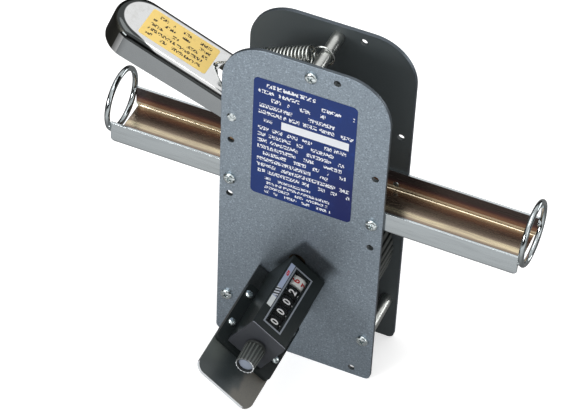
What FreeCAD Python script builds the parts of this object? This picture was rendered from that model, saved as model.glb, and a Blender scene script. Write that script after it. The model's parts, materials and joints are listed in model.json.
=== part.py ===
import FreeCAD, Part
import math
import operator
import os

import Sketcher

# A bench meter for rope and cord. Two side plates stand on their lower edges and carry a ribbed
# measuring wheel, a trough that guides the rope over it, and a sprung lever whose roller presses
# the rope on the wheel. A pair of gears turns a five-figure counter on a bracket in front.
#
# Frame: origin at the middle of the front plate's lower edge, in the middle of its thickness.
# +X runs along the trough towards its long end, +Y from the front plate to the rear one, +Z up.

V = FreeCAD.Vector
TURN_TO_Y = FreeCAD.Rotation(V(1, 0, 0), -90)
TURN_TO_X = FreeCAD.Rotation(V(0, 1, 0), 90)

# alias, value in mm (or degrees, or a count), meaning
DIMENSIONS = [
    ("plate_width", 104.0, "side plates, along the trough"),
    ("plate_height", 239.0, "side plates, from the bench to the top edge"),
    ("plate_thickness", 2.5, "sheet of the side plates"),
    ("shoulder_radius", 28.0, "upper corners of the plates"),
    ("foot_radius", 4.0, "lower corners of the plates"),
    ("edge_inset", 6.6, "side fasteners, from the plate's edge"),
    ("low_screw_height", 33.3, "lower posts, above the bench"),
    ("top_screw_drop", 8.0, "top post, below the plate's top edge"),
    ("top_post_offset", 2.8, "top post, right of the plate's middle"),
    ("spare_radius", 2.2, "unused mounting holes"),
    ("left_spare_drop", 7.2, "lower spare hole on the left, below the trough"),
    ("left_spare_gap", 43.6, "between the two spare holes on the left"),
    ("right_spare_drop", 13.5, "lower spare hole on the right, below the trough"),
    ("right_spare_gap", 55.7, "between the two spare holes on the right"),
    ("top_spare_offset", 18.5, "spare hole beside the top post, from the middle"),
    ("top_spare_drop", 6.6, "the same hole, below the top edge"),
    ("foot_spare_offset", 39.4, "spare hole near the foot, from the middle"),
    ("foot_spare_height", 5.8, "the same hole, above the bench"),
    ("post_radius", 3.9, "spacer posts between the plates"),
    ("screw_radius", 2.0, "shank of the plate screws"),
    ("screw_head_radius", 4.0, "head of the plate screws"),
    ("screw_head_height", 2.4, "head of the plate screws"),
    ("head_taper", 0.62, "top of a pan head, as a share of its radius"),
    ("screw_grip", 9.0, "shank below the plate screws' heads in a post"),
    ("label_width", 64.0, "panel on the front plate"),
    ("label_height", 90.5, "panel on the front plate"),
    ("label_foot", 128.3, "lower edge of that panel above the bench"),
    ("label_radius", 3.0, "corners of that panel"),
    ("foil", 0.2, "thickness of the stuck-on panels"),
    ("channel_foot", 127.2, "underside of the trough above the bench"),
    ("channel_height", 15.4, "trough, outside"),
    ("channel_wall", 1.6, "sheet of the trough"),
    ("channel_left", 125.1, "reach of the trough to the left"),
    ("channel_right", 134.4, "reach of the trough to the right"),
    ("channel_bend", 2.4, "outside bend of the trough"),
    ("channel_clip", 3.0, "cut lower corners at the trough's ends"),
    ("channel_screw_rise", 5.6, "screws that hold the trough, above its underside"),
    ("slot_clearance", 2.0, "slot in the trough around the wheel"),
    ("ring_radius", 19.0, "rope rings, to the middle of the wire"),
    ("ring_wire", 1.75, "rope rings, radius of the wire"),
    ("ring_rise", 19.4, "middle of the rings above the trough's underside"),
    ("weld_radius", 2.5, "beads where a ring meets the trough"),
    ("wheel_radius", 48.5, "measuring wheel: one foot around"),
    ("wheel_width", 26.0, "measuring wheel"),
    ("wheel_stand", 1.8, "wheel above the trough's floor"),
    ("rib_count", 60, "ribs round the wheel"),
    ("rib_depth", 1.1, "grooves between the ribs"),
    ("rim_depth", 6.0, "solid rim of the wheel"),
    ("web_recess", 3.6, "recess in each side of the wheel"),
    ("hub_radius", 10.0, "hub of the wheel"),
    ("shaft_radius", 4.0, "shaft of the wheel"),
    ("running", 0.05, "radial clearance of what turns"),
    ("side_play", 0.3, "end clearance of what turns"),
    ("flange_thickness", 1.2, "flanges of the bushes"),
    ("wheel_flange_radius", 6.6, "flanges of the wheel's bushes"),
    ("wheel_bush_radius", 5.5, "bodies of the wheel's bushes"),
    ("input_flange_radius", 5.2, "flange of the counter drive's bush"),
    ("input_bush_radius", 3.9, "body of the counter drive's bush"),
    ("input_radius", 2.5, "shaft of the counter drive"),
    ("input_aside", 2.0, "counter drive, right of the plates' middle"),
    ("gear_teeth", 18, "teeth of the two equal drive gears"),
    ("gear_module", 0.7, "pitch diameter over teeth"),
    ("collar_radius", 8.0, "collar behind the wheel"),
    ("set_screw_radius", 1.05, "set screw of the collar"),
    ("set_screw_sink", 0.5, "that screw below the collar's surface"),
    ("lever_gap", 1.0, "between the lever and each plate"),
    ("pivot_rise", 38.7, "lever's pivot above the trough's upper edges"),
    ("pivot_radius", 3.0, "pivot pin"),
    ("pivot_head_radius", 3.1, "peened head of the pivot pin"),
    ("pivot_head_height", 0.9, "peened head of the pivot pin"),
    ("pivot_head_top", 2.2, "top of that head"),
    ("spacer_radius", 5.0, "tubes that centre the lever"),
    ("handle_slope", 21.2, "lever at rest, in degrees"),
    ("handle_width", 34.5, "lever, outside"),
    ("handle_wall", 2.0, "sheet of the lever"),
    ("handle_rise", 8.0, "top of the lever above its pivot"),
    ("handle_reach", 91.0, "pivot to the lever's nose"),
    ("handle_tail", 40.0, "pivot to the end of the lever's top"),
    ("handle_nose_depth", 20.3, "skirt of the lever near its nose"),
    ("handle_neck_depth", 16.9, "skirt of the lever at its pivot"),
    ("handle_bend", 4.5, "outside bend of the lever's top edge"),
    ("lobe_radius", 5.0, "ends of the arms round the roller axle"),
    ("lobe_gap", 0.6, "those ends above the trough's edges when the lever is released"),
    ("spring_hole_radius", 9.5, "round hole in the lever's top"),
    ("spring_hole_reach", 12.3, "that hole, from the pivot along the lever"),
    ("hook_hole_radius", 1.5, "hole for the spring's hook"),
    ("hook_hole_reach", 24.4, "that hole, from the pivot along the lever"),
    ("plaque_length", 46.0, "panel on the lever"),
    ("plaque_width", 22.3, "panel on the lever"),
    ("plaque_reach", 26.5, "near edge of that panel from the pivot"),
    ("plaque_radius", 1.5, "corners of that panel"),
    ("axle_radius", 3.0, "axle of the pressure roller"),
    ("rope_least", 4.8, "thinnest rope: between the wheel and the roller"),
    ("roller_width", 27.0, "pressure roller"),
    ("roller_edge", 1.2, "rounded edges of the pressure roller"),
    ("roller_bush_radius", 4.6, "bush inside the pressure roller"),
    ("washer_radius", 6.0, "washers beside the roller"),
    ("clip_thickness", 0.6, "clips on the roller axle"),
    ("clip_radius", 4.6, "clips on the roller axle"),
    ("spring_radius", 7.0, "return spring, outside"),
    ("spring_wire", 1.4, "return spring, thickness of its wire"),
    ("spring_turns", 15, "turns of the return spring"),
    ("loop_slack", 1.6, "loop of the spring, larger than the post"),
    ("spring_lead", 28.0, "from the lever's hook hole to the first turn"),
    ("hook_lift", 2.0, "bend of the spring's hook above the lever"),
    ("hook_depth", 1.5, "end of the spring's hook below the lever's sheet"),
    ("counter_tilt", 34.9, "slope of the counter bracket, in degrees"),
    ("figure_across", 21.0, "axis of the number wheels, from the bracket's upper edge"),
    ("figure_height", 15.0, "axis of the number wheels above the bracket"),
    ("bracket_width", 41.8, "counter bracket"),
    ("bracket_reach", 92.2, "counter bracket, out from the front plate"),
    ("bracket_sheet", 1.8, "sheet of the counter bracket"),
    ("bracket_flange", 16.0, "bent edge on the front plate"),
    ("flange_inset", 5.0, "that bent edge, from the bracket's sides"),
    ("bracket_bend", 1.4, "outside bend of the bracket"),
    ("bracket_corner", 6.5, "front corners of the bracket"),
    ("small_screw_radius", 1.5, "shank of the counter's screws"),
    ("small_head_radius", 2.7, "head of the counter's screws"),
    ("small_head_height", 1.6, "head of the counter's screws"),
    ("nut_radius", 2.9, "nuts of the counter's screws, over their corners"),
    ("nut_height", 2.1, "nuts of the counter's screws"),
    ("ear_thickness", 3.0, "foot of the counter"),
    ("ear_start", 19.0, "counter's foot, from the front plate"),
    ("ear_end", 67.0, "front of the counter's foot, from the front plate"),
    ("ear_screw_inset", 3.7, "screws from the edge of the foot"),
    ("ear_screw_near", 27.0, "first pair of screws, from the front plate"),
    ("ear_screw_far", 51.5, "second pair of screws, from the front plate"),
    ("case_left", 7.5, "left side of the counter case, from the bracket's upper edge"),
    ("case_width", 25.9, "counter case"),
    ("case_height", 28.0, "counter case above the bracket"),
    ("case_wall", 1.4, "walls of the counter case"),
    ("case_start", 1.2, "back of the case, from the front plate"),
    ("case_end", 60.5, "joint of the case and its end cap, from the front plate"),
    ("cap_top", 1.5, "end cap at its upper edge"),
    ("cap_foot", 3.4, "end cap at its foot"),
    ("case_edge", 1.0, "rounded edges of the case"),
    ("window_width", 13.4, "frame round the window, outside"),
    ("window_inset", 5.0, "that frame, from the case's left side"),
    ("window_near", 7.4, "near end of that frame, from the front plate"),
    ("window_far", 55.4, "far end of that frame, from the front plate"),
    ("frame_line", 0.9, "width of that frame"),
    ("frame_rise", 0.3, "that frame above the case"),
    ("lens_thickness", 0.7, "window of the counter"),
    ("window_ledge", 1.3, "ledge under the window's edges"),
    ("legend_width", 3.2, "legend strip"),
    ("legend_gap", 0.5, "legend strip to the frame round the window"),
    ("legend_near", 7.4, "near end of the legend strip, from the front plate"),
    ("legend_far", 43.9, "far end of the legend strip, from the front plate"),
    ("figure_radius", 10.7, "number wheels"),
    ("figure_rim", 1.3, "rim of the number wheels"),
    ("figure_recess", 1.7, "recess in one side of the number wheels"),
    ("figure_hub", 3.6, "hubs of the number wheels"),
    ("figure_pitch", 8.85, "number wheels, middle to middle"),
    ("figure_gap", 1.2, "space between two number wheels"),
    ("first_figure", 12.9, "middle of the last number wheel, from the front plate"),
    ("reset_radius", 1.5, "reset shaft"),
    ("knob_base_radius", 6.4, "reset knob, beside the case"),
    ("knob_end_radius", 5.8, "reset knob, at its outer end"),
    ("knob_length", 15.6, "reset knob"),
    ("knob_floor_wall", 1.0, "knob between its hollow and its shaft"),
    ("knob_flutes", 16, "flutes of the reset knob"),
    ("flute_radius", 0.9, "flutes of the reset knob"),
    ("flute_rise", 0.55, "middle of the flutes outside the knob's outer end"),
    ("flute_stop", 1.5, "plain collar between the flutes and the case"),
    ("knob_recess", 2.3, "hollow in the knob's end"),
    ("knob_rim", 0.9, "wall round that hollow"),
    ("cap_gap", 0.3, "disc in that hollow, from its wall"),
    ("cap_disc", 0.5, "thickness of that disc"),
]

doc = FreeCAD.newDocument("rope_meter")
sheet = doc.addObject("Spreadsheet::Sheet", "sizes")


# ---- sizes -------------------------------------------------------------------------------------

OPERATIONS = {"+": operator.add, "-": operator.sub, "*": operator.mul, "/": operator.truediv}


class Size:
    """A number together with the sheet expression that gives it, so that it can be bound."""

    def __init__(self, text, number):
        self.text = text
        self.number = float(number)

    def __float__(self):
        return self.number

    def __add__(self, other):
        return joined(self, "+", other)

    def __radd__(self, other):
        return joined(other, "+", self)

    def __sub__(self, other):
        return joined(self, "-", other)

    def __rsub__(self, other):
        return joined(other, "-", self)

    def __mul__(self, other):
        return joined(self, "*", other)

    def __rmul__(self, other):
        return joined(other, "*", self)

    def __truediv__(self, other):
        return joined(self, "/", other)

    def __neg__(self):
        return joined(0, "-", self)


def as_size(value):
    return value if isinstance(value, Size) else Size(repr(float(value)), value)


def joined(left, sign, right):
    left = as_size(left)
    right = as_size(right)
    return Size(f"({left.text} {sign} {right.text})", OPERATIONS[sign](left.number, right.number))


def sine(angle):
    return Size(f"sin({angle.text})", math.sin(math.radians(angle.number)))


def cosine(angle):
    return Size(f"cos({angle.text})", math.cos(math.radians(angle.number)))


def root(size):
    return Size(f"sqrt({size.text})", math.sqrt(size.number))


class Sheet:
    """The driving dimensions, each one an attribute under its alias."""

    def __init__(self, rows):
        for row, (alias, number, meaning) in enumerate(rows, start=1):
            sheet.set(f"A{row}", meaning)
            sheet.set(f"B{row}", repr(number))
            sheet.setAlias(f"B{row}", alias)
            setattr(self, alias, Size(f"sizes.{alias}", number))


mm = Sheet(DIMENSIONS)
doc.recompute()

# Places that several pieces share.
front_face = -mm.plate_thickness / 2
front_inner = mm.plate_thickness / 2
plate_gap = mm.handle_width + mm.lever_gap * 2
rear_inner = front_inner + plate_gap
rear_face = rear_inner + mm.plate_thickness
mid_y = front_inner + plate_gap / 2
left_x = mm.edge_inset - mm.plate_width / 2
right_x = mm.plate_width / 2 - mm.edge_inset
top_z = mm.plate_height - mm.top_screw_drop
channel_top = mm.channel_foot + mm.channel_height
wheel_z = mm.channel_foot + mm.channel_wall + mm.wheel_stand - mm.wheel_radius
gear_distance = mm.gear_teeth * mm.gear_module
input_drop = root(gear_distance * gear_distance - mm.input_aside * mm.input_aside)
input_z = wheel_z - input_drop
pivot_z = channel_top + mm.pivot_rise
axle_z = channel_top + mm.lobe_radius + mm.lobe_gap
roller_radius = axle_z - wheel_z - mm.wheel_radius - mm.rope_least
wheel_front = mid_y - mm.wheel_width / 2
wheel_back = mid_y + mm.wheel_width / 2
case_right = mm.case_left + mm.case_width


# ---- tools for modelling -----------------------------------------------------------------------

def bind(thing, path, size):
    thing.setExpression(path, as_size(size).text)


def place(thing, x=0, y=0, z=0, turn=None, tilt=None):
    """Puts a thing at x, y, z. turn is a fixed rotation, tilt a bound angle about Y."""
    rotation = turn or FreeCAD.Rotation()
    if tilt is not None:
        rotation = FreeCAD.Rotation(V(0, 1, 0), float(tilt))
    thing.Placement = FreeCAD.Placement(V(float(x), float(y), float(z)), rotation)
    for axis, value in zip("xyz", (x, y, z)):
        bind(thing, f"Placement.Base.{axis}", value)
    if tilt is not None:
        bind(thing, "Placement.Rotation.Angle", tilt)
    return thing


def cylinder(radius, length, x=0, y=0, z=0, turn=TURN_TO_Y):
    """A cylinder that starts at x, y, z and runs along +Y, or as turn says."""
    thing = doc.addObject("Part::Cylinder", "cylinder")
    bind(thing, "Radius", radius)
    bind(thing, "Height", length)
    return place(thing, x, y, z, turn)


def cone(radius, end_radius, length, x=0, y=0, z=0, turn=TURN_TO_Y):
    thing = doc.addObject("Part::Cone", "cone")
    bind(thing, "Radius1", radius)
    bind(thing, "Radius2", end_radius)
    bind(thing, "Height", length)
    return place(thing, x, y, z, turn)


def box(length, width, height, x=0, y=0, z=0):
    thing = doc.addObject("Part::Box", "box")
    bind(thing, "Length", length)
    bind(thing, "Width", width)
    bind(thing, "Height", height)
    return place(thing, x, y, z)


def fuse(*things):
    union = doc.addObject("Part::MultiFuse", "union")
    union.Shapes = list(things)
    union.Refine = True
    return union


def cut(base, *tools):
    result = doc.addObject("Part::Cut", "cut")
    result.Base = base
    result.Tool = tools[0] if len(tools) == 1 else fuse(*tools)
    return result


def tube(radius, bore, length, x=0, y=0, z=0, turn=TURN_TO_Y):
    return cut(cylinder(radius, length, x, y, z, turn), cylinder(bore, length, x, y, z, turn))


def group(things):
    compound = doc.addObject("Part::Compound", "group")
    compound.Links = list(things)
    return compound


def body(name):
    return doc.addObject("PartDesign::Body", name + "_body")


def sketch(owner, plane, offset=0):
    """A sketch on one of the body's planes, moved by offset along that plane's normal."""
    drawing = owner.newObject("Sketcher::SketchObject", "sketch")
    origin_plane = [f for f in owner.Origin.OriginFeatures if f.Role == plane + "_Plane"][0]
    drawing.AttachmentSupport = (origin_plane, "")
    drawing.MapMode = "FlatFace"
    bind(drawing, "AttachmentOffset.Base.z", offset)
    return drawing


def outline(drawing, corners):
    """A closed line through the corners, each held by two bound dimensions."""
    start = drawing.GeometryCount
    count = len(corners)
    for index in range(count):
        here = corners[index]
        after = corners[(index + 1) % count]
        line = Part.LineSegment(V(float(here[0]), float(here[1]), 0), V(float(after[0]), float(after[1]), 0))
        drawing.addGeometry(line, False)
    for index in range(count):
        following = start + (index + 1) % count
        drawing.addConstraint(Sketcher.Constraint("Coincident", start + index, 2, following, 1))
    for index, corner in enumerate(corners):
        for kind, letter, value in zip(("DistanceX", "DistanceY"), "xy", corner):
            constraint = Sketcher.Constraint(kind, -1, 1, start + index, 1, float(value))
            number = drawing.addConstraint(constraint)
            drawing.renameConstraint(number, f"{letter}{start + index}")
            bind(drawing, f"Constraints.{letter}{start + index}", value)


def circles(drawing, holes):
    """Circles given as (x, y, radius), each held by three bound dimensions."""
    for x, y, radius in holes:
        index = drawing.GeometryCount
        circle = Part.Circle(V(float(x), float(y), 0), V(0, 0, 1), float(radius))
        drawing.addGeometry(circle, False)
        settings = (("DistanceX", "x", x), ("DistanceY", "y", y), ("Radius", "r", radius))
        for kind, letter, value in settings:
            if kind == "Radius":
                constraint = Sketcher.Constraint(kind, index, float(value))
            else:
                constraint = Sketcher.Constraint(kind, -1, 1, index, 3, float(value))
            number = drawing.addConstraint(constraint)
            drawing.renameConstraint(number, f"{letter}{index}")
            bind(drawing, f"Constraints.{letter}{index}", value)


def pad(owner, drawing, length, reverse=False, symmetric=False):
    feature = owner.newObject("PartDesign::Pad", "pad")
    feature.Profile = drawing
    feature.Reversed = reverse
    feature.Midplane = symmetric
    bind(feature, "Length", length)
    drawing.Visibility = False
    doc.recompute()
    return feature


def pocket(owner, drawing, length=None, reverse=False, symmetric=False):
    """A pocket of that length, or through everything. It raises an error if it takes nothing."""
    before = owner.Shape.Volume
    feature = owner.newObject("PartDesign::Pocket", "pocket")
    feature.Profile = drawing
    feature.Reversed = reverse
    feature.Midplane = symmetric
    if length is None:
        feature.Type = "ThroughAll"
    else:
        bind(feature, "Length", length)
    doc.recompute()
    if owner.Shape.Volume > before - 1e-3:
        raise RuntimeError(f"{owner.Name}: a pocket takes nothing away")
    return feature


def soften(owner, kind, size, test):
    """A PartDesign Fillet or Chamfer on the body's edges that pass the test."""
    names = [f"Edge{n}" for n, edge in enumerate(owner.Shape.Edges, start=1) if test(edge)]
    if not names:
        raise RuntimeError(f"{owner.Name}: no edge to soften")
    feature = owner.newObject("PartDesign::" + kind, kind.lower())
    feature.Base = (owner.Tip if owner.Tip != feature else feature.BaseFeature, names)
    bind(feature, "Radius" if kind == "Fillet" else "Size", size)
    doc.recompute()
    if "Invalid" in feature.State or feature.Shape.isNull():
        raise RuntimeError(f"{owner.Name}: {kind} of {float(size)} fails on {names}")
    return feature


def y_axis(owner):
    return [f for f in owner.Origin.OriginFeatures if f.Role == "Y_Axis"][0]


def revolve(owner, drawing):
    """Turns a sketch round the body's Y axis."""
    feature = owner.newObject("PartDesign::Revolution", "revolution")
    feature.Profile = drawing
    feature.ReferenceAxis = (y_axis(owner), [""])
    feature.Angle = 360
    drawing.Visibility = False
    doc.recompute()
    return feature


def polar(owner, feature, count):
    """Repeats a feature round the body's Y axis."""
    pattern = owner.newObject("PartDesign::PolarPattern", "pattern")
    pattern.Originals = [feature]
    pattern.Axis = (y_axis(owner), [""])
    pattern.Angle = 360
    bind(pattern, "Occurrences", count)
    owner.Tip = pattern
    doc.recompute()
    return pattern


def runs_along(edge, direction):
    """Whether an edge is straight and lies along a direction."""
    if edge.Curve.TypeId != "Part::GeomLine":
        return False
    return abs(edge.tangentAt(edge.FirstParameter).dot(direction)) > 0.999


def near(value, size):
    return abs(value - float(size)) < 0.01


NODES = {}


def node(name, thing):
    """Names a finished piece. The name is its label and its file."""
    thing.Label = name
    NODES[name] = thing
    return thing


# ---- side plates and what joins them -----------------------------------------------------------

left_spare_z = mm.channel_foot - mm.left_spare_drop
right_spare_z = mm.channel_foot - mm.right_spare_drop
SPARE_HOLES = [
    (left_x, left_spare_z),
    (left_x, left_spare_z + mm.left_spare_gap),
    (right_x, right_spare_z),
    (right_x, right_spare_z + mm.right_spare_gap),
    (mm.top_spare_offset, mm.plate_height - mm.top_spare_drop),
    (mm.foot_spare_offset, mm.foot_spare_height),
]
POST_PLACES = {
    "top_post": (mm.top_post_offset, top_z),
    "lower_left_post": (left_x, mm.low_screw_height),
    "lower_right_post": (right_x, mm.low_screw_height),
}
channel_screw_z = mm.channel_foot + mm.channel_screw_rise
CHANNEL_SCREWS = [(left_x, channel_screw_z), (right_x, channel_screw_z)]
BRACKET_SCREW_DROP = mm.bracket_flange * 0.6
BRACKET_SCREW_INSET = mm.bracket_width * 0.25


def on_bracket(across, height):
    """A point of the tilted counter in the plates' X and Z."""
    aside = across - mm.figure_across
    above = height - mm.figure_height
    x = mm.input_aside + aside * cosine(mm.counter_tilt) + above * sine(mm.counter_tilt)
    z = input_z - aside * sine(mm.counter_tilt) + above * cosine(mm.counter_tilt)
    return x, z


BRACKET_SCREWS = [
    on_bracket(across, -BRACKET_SCREW_DROP)
    for across in (BRACKET_SCREW_INSET, mm.bracket_width - BRACKET_SCREW_INSET)
]


def side_plate(name, start_y, extra_holes):
    """A plate with round shoulders, drilled for posts, trough, pivot, wheel and spare holes."""
    plate = body(name)
    half = mm.plate_width / 2
    blank = sketch(plate, "XZ")
    outline(blank, [(-half, 0), (half, 0), (half, mm.plate_height), (-half, mm.plate_height)])
    pad(plate, blank, mm.plate_thickness, reverse=True)
    for height, radius in ((mm.plate_height, mm.shoulder_radius), (as_size(0), mm.foot_radius)):
        soften(plate, "Fillet", radius,
               lambda e: runs_along(e, V(0, 1, 0)) and near(e.BoundBox.ZMin, height))
    screws = list(POST_PLACES.values()) + CHANNEL_SCREWS
    holes = [(x, z, mm.spare_radius) for x, z in SPARE_HOLES]
    holes += [(x, z, mm.screw_radius) for x, z in screws]
    holes += [(left_x, pivot_z, mm.pivot_radius), (0, wheel_z, mm.wheel_bush_radius)]
    drilling = sketch(plate, "XZ")
    circles(drilling, holes + extra_holes)
    pocket(plate, drilling)
    place(plate, 0, start_y, 0)
    return node(name, plate)


side_plate("front_plate", front_face, [(mm.input_aside, input_z, mm.input_bush_radius)]
           + [(x, z, mm.small_screw_radius) for x, z in BRACKET_SCREWS])
side_plate("rear_plate", rear_inner, [])

for post_name, (x, z) in POST_PLACES.items():
    depth = mm.screw_grip - mm.plate_thickness
    post = cut(
        cylinder(mm.post_radius, plate_gap, x, front_inner, z),
        cylinder(mm.screw_radius, depth, x, front_inner, z),
        cylinder(mm.screw_radius, depth, x, rear_inner - depth, z),
    )
    node(post_name, post)


def pan_screw(x, y, z, radius, head_radius, head_height, grip, towards=1):
    """A pan-head screw. Its head's underside is at y and its shank runs towards +Y or -Y."""
    turn = TURN_TO_Y if towards > 0 else FreeCAD.Rotation(V(1, 0, 0), 90)
    back = TURN_TO_Y if towards < 0 else FreeCAD.Rotation(V(1, 0, 0), 90)
    step = head_height / 2
    return fuse(
        cylinder(radius, grip, x, y, z, turn),
        cylinder(head_radius, step, x, y, z, back),
        cone(head_radius, head_radius * mm.head_taper, step, x, y - towards * step, z, back),
    )


def plate_screws(face, towards):
    posts = [
        pan_screw(x, face, z, mm.screw_radius, mm.screw_head_radius, mm.screw_head_height,
                  mm.screw_grip, towards)
        for x, z in POST_PLACES.values()
    ]
    grip = mm.plate_thickness + mm.channel_wall
    trough = [
        pan_screw(x, face, z, mm.screw_radius, mm.screw_head_radius, mm.screw_head_height,
                  grip, towards)
        for x, z in CHANNEL_SCREWS
    ]
    return group(posts + trough)


node("front_plate_screws", plate_screws(front_face, 1))
node("rear_plate_screws", plate_screws(rear_face, -1))

panel = box(mm.label_width, mm.foil, mm.label_height,
            -mm.label_width / 2, front_face - mm.foil, mm.label_foot)
rounded_panel = doc.addObject("Part::Fillet", "rounded_panel")
rounded_panel.Base = panel
doc.recompute()
rounded_panel.Edges = [
    (n, float(mm.label_radius), float(mm.label_radius))
    for n, edge in enumerate(panel.Shape.Edges, start=1) if runs_along(edge, V(0, 1, 0))
]
node("plate_label", rounded_panel)


# ---- trough and rings --------------------------------------------------------------------------

def guide_channel():
    """A bent U of sheet with a slot for the wheel and clipped lower corners."""
    trough = body("guide_channel")
    half = plate_gap / 2
    inside = half - mm.channel_wall
    floor = mm.channel_wall
    profile = sketch(trough, "YZ")
    outline(profile, [
        (-half, 0), (half, 0), (half, mm.channel_height), (inside, mm.channel_height),
        (inside, floor), (-inside, floor), (-inside, mm.channel_height),
        (-half, mm.channel_height),
    ])
    length = mm.channel_left + mm.channel_right
    pad(trough, profile, length)
    along = V(1, 0, 0)
    soften(trough, "Fillet", mm.channel_bend,
           lambda e: runs_along(e, along) and near(e.BoundBox.ZMax, 0))
    soften(trough, "Fillet", mm.channel_bend - mm.channel_wall,
           lambda e: runs_along(e, along) and near(e.BoundBox.ZMax, floor))
    clip = mm.channel_clip
    corners = sketch(trough, "XZ")
    outline(corners, [(0, 0), (clip, 0), (0, clip)])
    outline(corners, [(length, 0), (length, clip), (length - clip, 0)])
    pocket(trough, corners, plate_gap * 2, symmetric=True)
    under = mm.wheel_radius - mm.wheel_stand - mm.channel_wall
    chord = root(mm.wheel_radius * mm.wheel_radius - under * under)
    slot = sketch(trough, "XY")
    reach = chord + mm.slot_clearance
    side = mm.wheel_width / 2 + mm.slot_clearance
    outline(slot, [
        (mm.channel_left - reach, -side), (mm.channel_left + reach, -side),
        (mm.channel_left + reach, side), (mm.channel_left - reach, side),
    ])
    pocket(trough, slot, mm.channel_wall * 2, symmetric=True)
    holes = sketch(trough, "XZ")
    circles(holes, [(mm.channel_left + x, z - mm.channel_foot, mm.screw_radius)
                    for x, z in CHANNEL_SCREWS])
    pocket(trough, holes, plate_gap * 2, symmetric=True)
    return place(trough, -mm.channel_left, mid_y, mm.channel_foot)


node("guide_channel", guide_channel())

ring_z = mm.channel_foot + mm.ring_rise


def rope_ring(end_x, outward):
    """A wire ring against one end of the trough, with a weld bead on each wall."""
    centre_x = end_x + outward * mm.ring_wire
    ring = doc.addObject("Part::Torus", "ring")
    bind(ring, "Radius1", mm.ring_radius)
    bind(ring, "Radius2", mm.ring_wire)
    place(ring, centre_x, mid_y, ring_z, TURN_TO_X)
    wall_y = plate_gap / 2 - mm.channel_wall / 2
    drop = root(mm.ring_radius * mm.ring_radius - wall_y * wall_y)
    beads = []
    for side in (-1, 1):
        bead = doc.addObject("Part::Sphere", "bead")
        bind(bead, "Radius", mm.weld_radius)
        beads.append(place(bead, end_x, mid_y + side * wall_y, ring_z - drop))
    size = mm.ring_radius * 4
    start_x = end_x if outward < 0 else end_x - size
    keep_off = box(size, size, size, start_x, mid_y - size / 2, ring_z - size / 2)
    return cut(fuse(ring, *beads), keep_off)


node("left_ring", rope_ring(-mm.channel_left, -1))
node("right_ring", rope_ring(mm.channel_right, 1))


# ---- measuring wheel and its bearings ----------------------------------------------------------

def flanged_bush(x, z, inner_face, inward, flange_radius, body_radius, bore):
    """A bush pressed through a plate, with its flange on the plate's inner face."""
    flange_y = inner_face if inward > 0 else inner_face - mm.flange_thickness
    body_y = inner_face - mm.plate_thickness if inward > 0 else inner_face
    blank = fuse(
        cylinder(flange_radius, mm.flange_thickness, x, flange_y, z),
        cylinder(body_radius, mm.plate_thickness, x, body_y, z),
    )
    length = mm.plate_thickness + mm.flange_thickness
    start = body_y if inward > 0 else flange_y
    return cut(blank, cylinder(bore, length, x, start, z))


wheel_bore = mm.shaft_radius + mm.running
node("front_wheel_bush", flanged_bush(0, wheel_z, front_inner, 1, mm.wheel_flange_radius,
                                      mm.wheel_bush_radius, wheel_bore))
node("rear_wheel_bush", flanged_bush(0, wheel_z, rear_inner, -1, mm.wheel_flange_radius,
                                     mm.wheel_bush_radius, wheel_bore))
node("input_bush", flanged_bush(mm.input_aside, input_z, front_inner, 1, mm.input_flange_radius,
                                mm.input_bush_radius, mm.input_radius + mm.running))


def measuring_wheel():
    """A cast wheel with axial ribs round its rim, a thin web and a hub."""
    wheel = body("measuring_wheel")
    blank = sketch(wheel, "XZ")
    circles(blank, [(0, 0, mm.wheel_radius)])
    pad(wheel, blank, mm.wheel_width, symmetric=True)
    for side in (-1, 1):
        recess = sketch(wheel, "XZ", side * mm.wheel_width / 2)
        circles(recess, [(0, 0, mm.wheel_radius - mm.rim_depth), (0, 0, mm.hub_radius)])
        pocket(wheel, recess, mm.web_recess, reverse=side < 0)
    bore = sketch(wheel, "XZ")
    circles(bore, [(0, 0, mm.shaft_radius)])
    pocket(wheel, bore, mm.wheel_width * 2, symmetric=True)
    pitch = math.tau / float(mm.rib_count)
    width = Size(f"({mm.wheel_radius.text} * 3.14159 / {mm.rib_count.text})",
                 float(mm.wheel_radius) * pitch / 2)
    floor = mm.wheel_radius - mm.rib_depth
    past = mm.wheel_radius + 1
    groove = sketch(wheel, "XZ")
    outline(groove, [(-width * 0.32, floor), (width * 0.32, floor), (width * 0.6, past),
                     (-width * 0.6, past)])
    first = pocket(wheel, groove, mm.wheel_width * 2, symmetric=True)
    polar(wheel, first, mm.rib_count)
    return place(wheel, 0, mid_y, wheel_z)


node("measuring_wheel", measuring_wheel())

shaft_end = front_face + mm.side_play
node("wheel_shaft", cylinder(mm.shaft_radius, rear_face - shaft_end, 0, shaft_end, wheel_z))

collar_length = rear_inner - mm.flange_thickness - mm.side_play - wheel_back
collar_screw_length = mm.collar_radius - mm.shaft_radius - mm.set_screw_sink
node("shaft_collar", cut(
    tube(mm.collar_radius, mm.shaft_radius, collar_length, 0, wheel_back, wheel_z),
    cylinder(mm.set_screw_radius, mm.collar_radius, 0, wheel_back + collar_length / 2, wheel_z,
             FreeCAD.Rotation()),
))
node("collar_set_screw", cylinder(
    mm.set_screw_radius, collar_screw_length, 0, wheel_back + collar_length / 2,
    wheel_z + mm.shaft_radius, FreeCAD.Rotation()))


def tooth_points(teeth, module, thinning):
    """Root and tip corners of a gear's straight-sided teeth, as radius and angle pairs."""
    pitch_radius = teeth * module / 2
    step = math.tau / teeth
    flank = step / 4 - thinning / pitch_radius / 2
    lean = math.radians(20) * module / pitch_radius
    rows = []
    for index in range(int(teeth)):
        middle = index * step
        rows.append((pitch_radius - 1.15 * module, middle - flank - 1.15 * lean))
        rows.append((pitch_radius + 0.95 * module, middle - flank + 0.95 * lean))
        rows.append((pitch_radius + 0.95 * module, middle + flank - 0.95 * lean))
        rows.append((pitch_radius - 1.15 * module, middle + flank + 1.15 * lean))
    return rows


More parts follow.
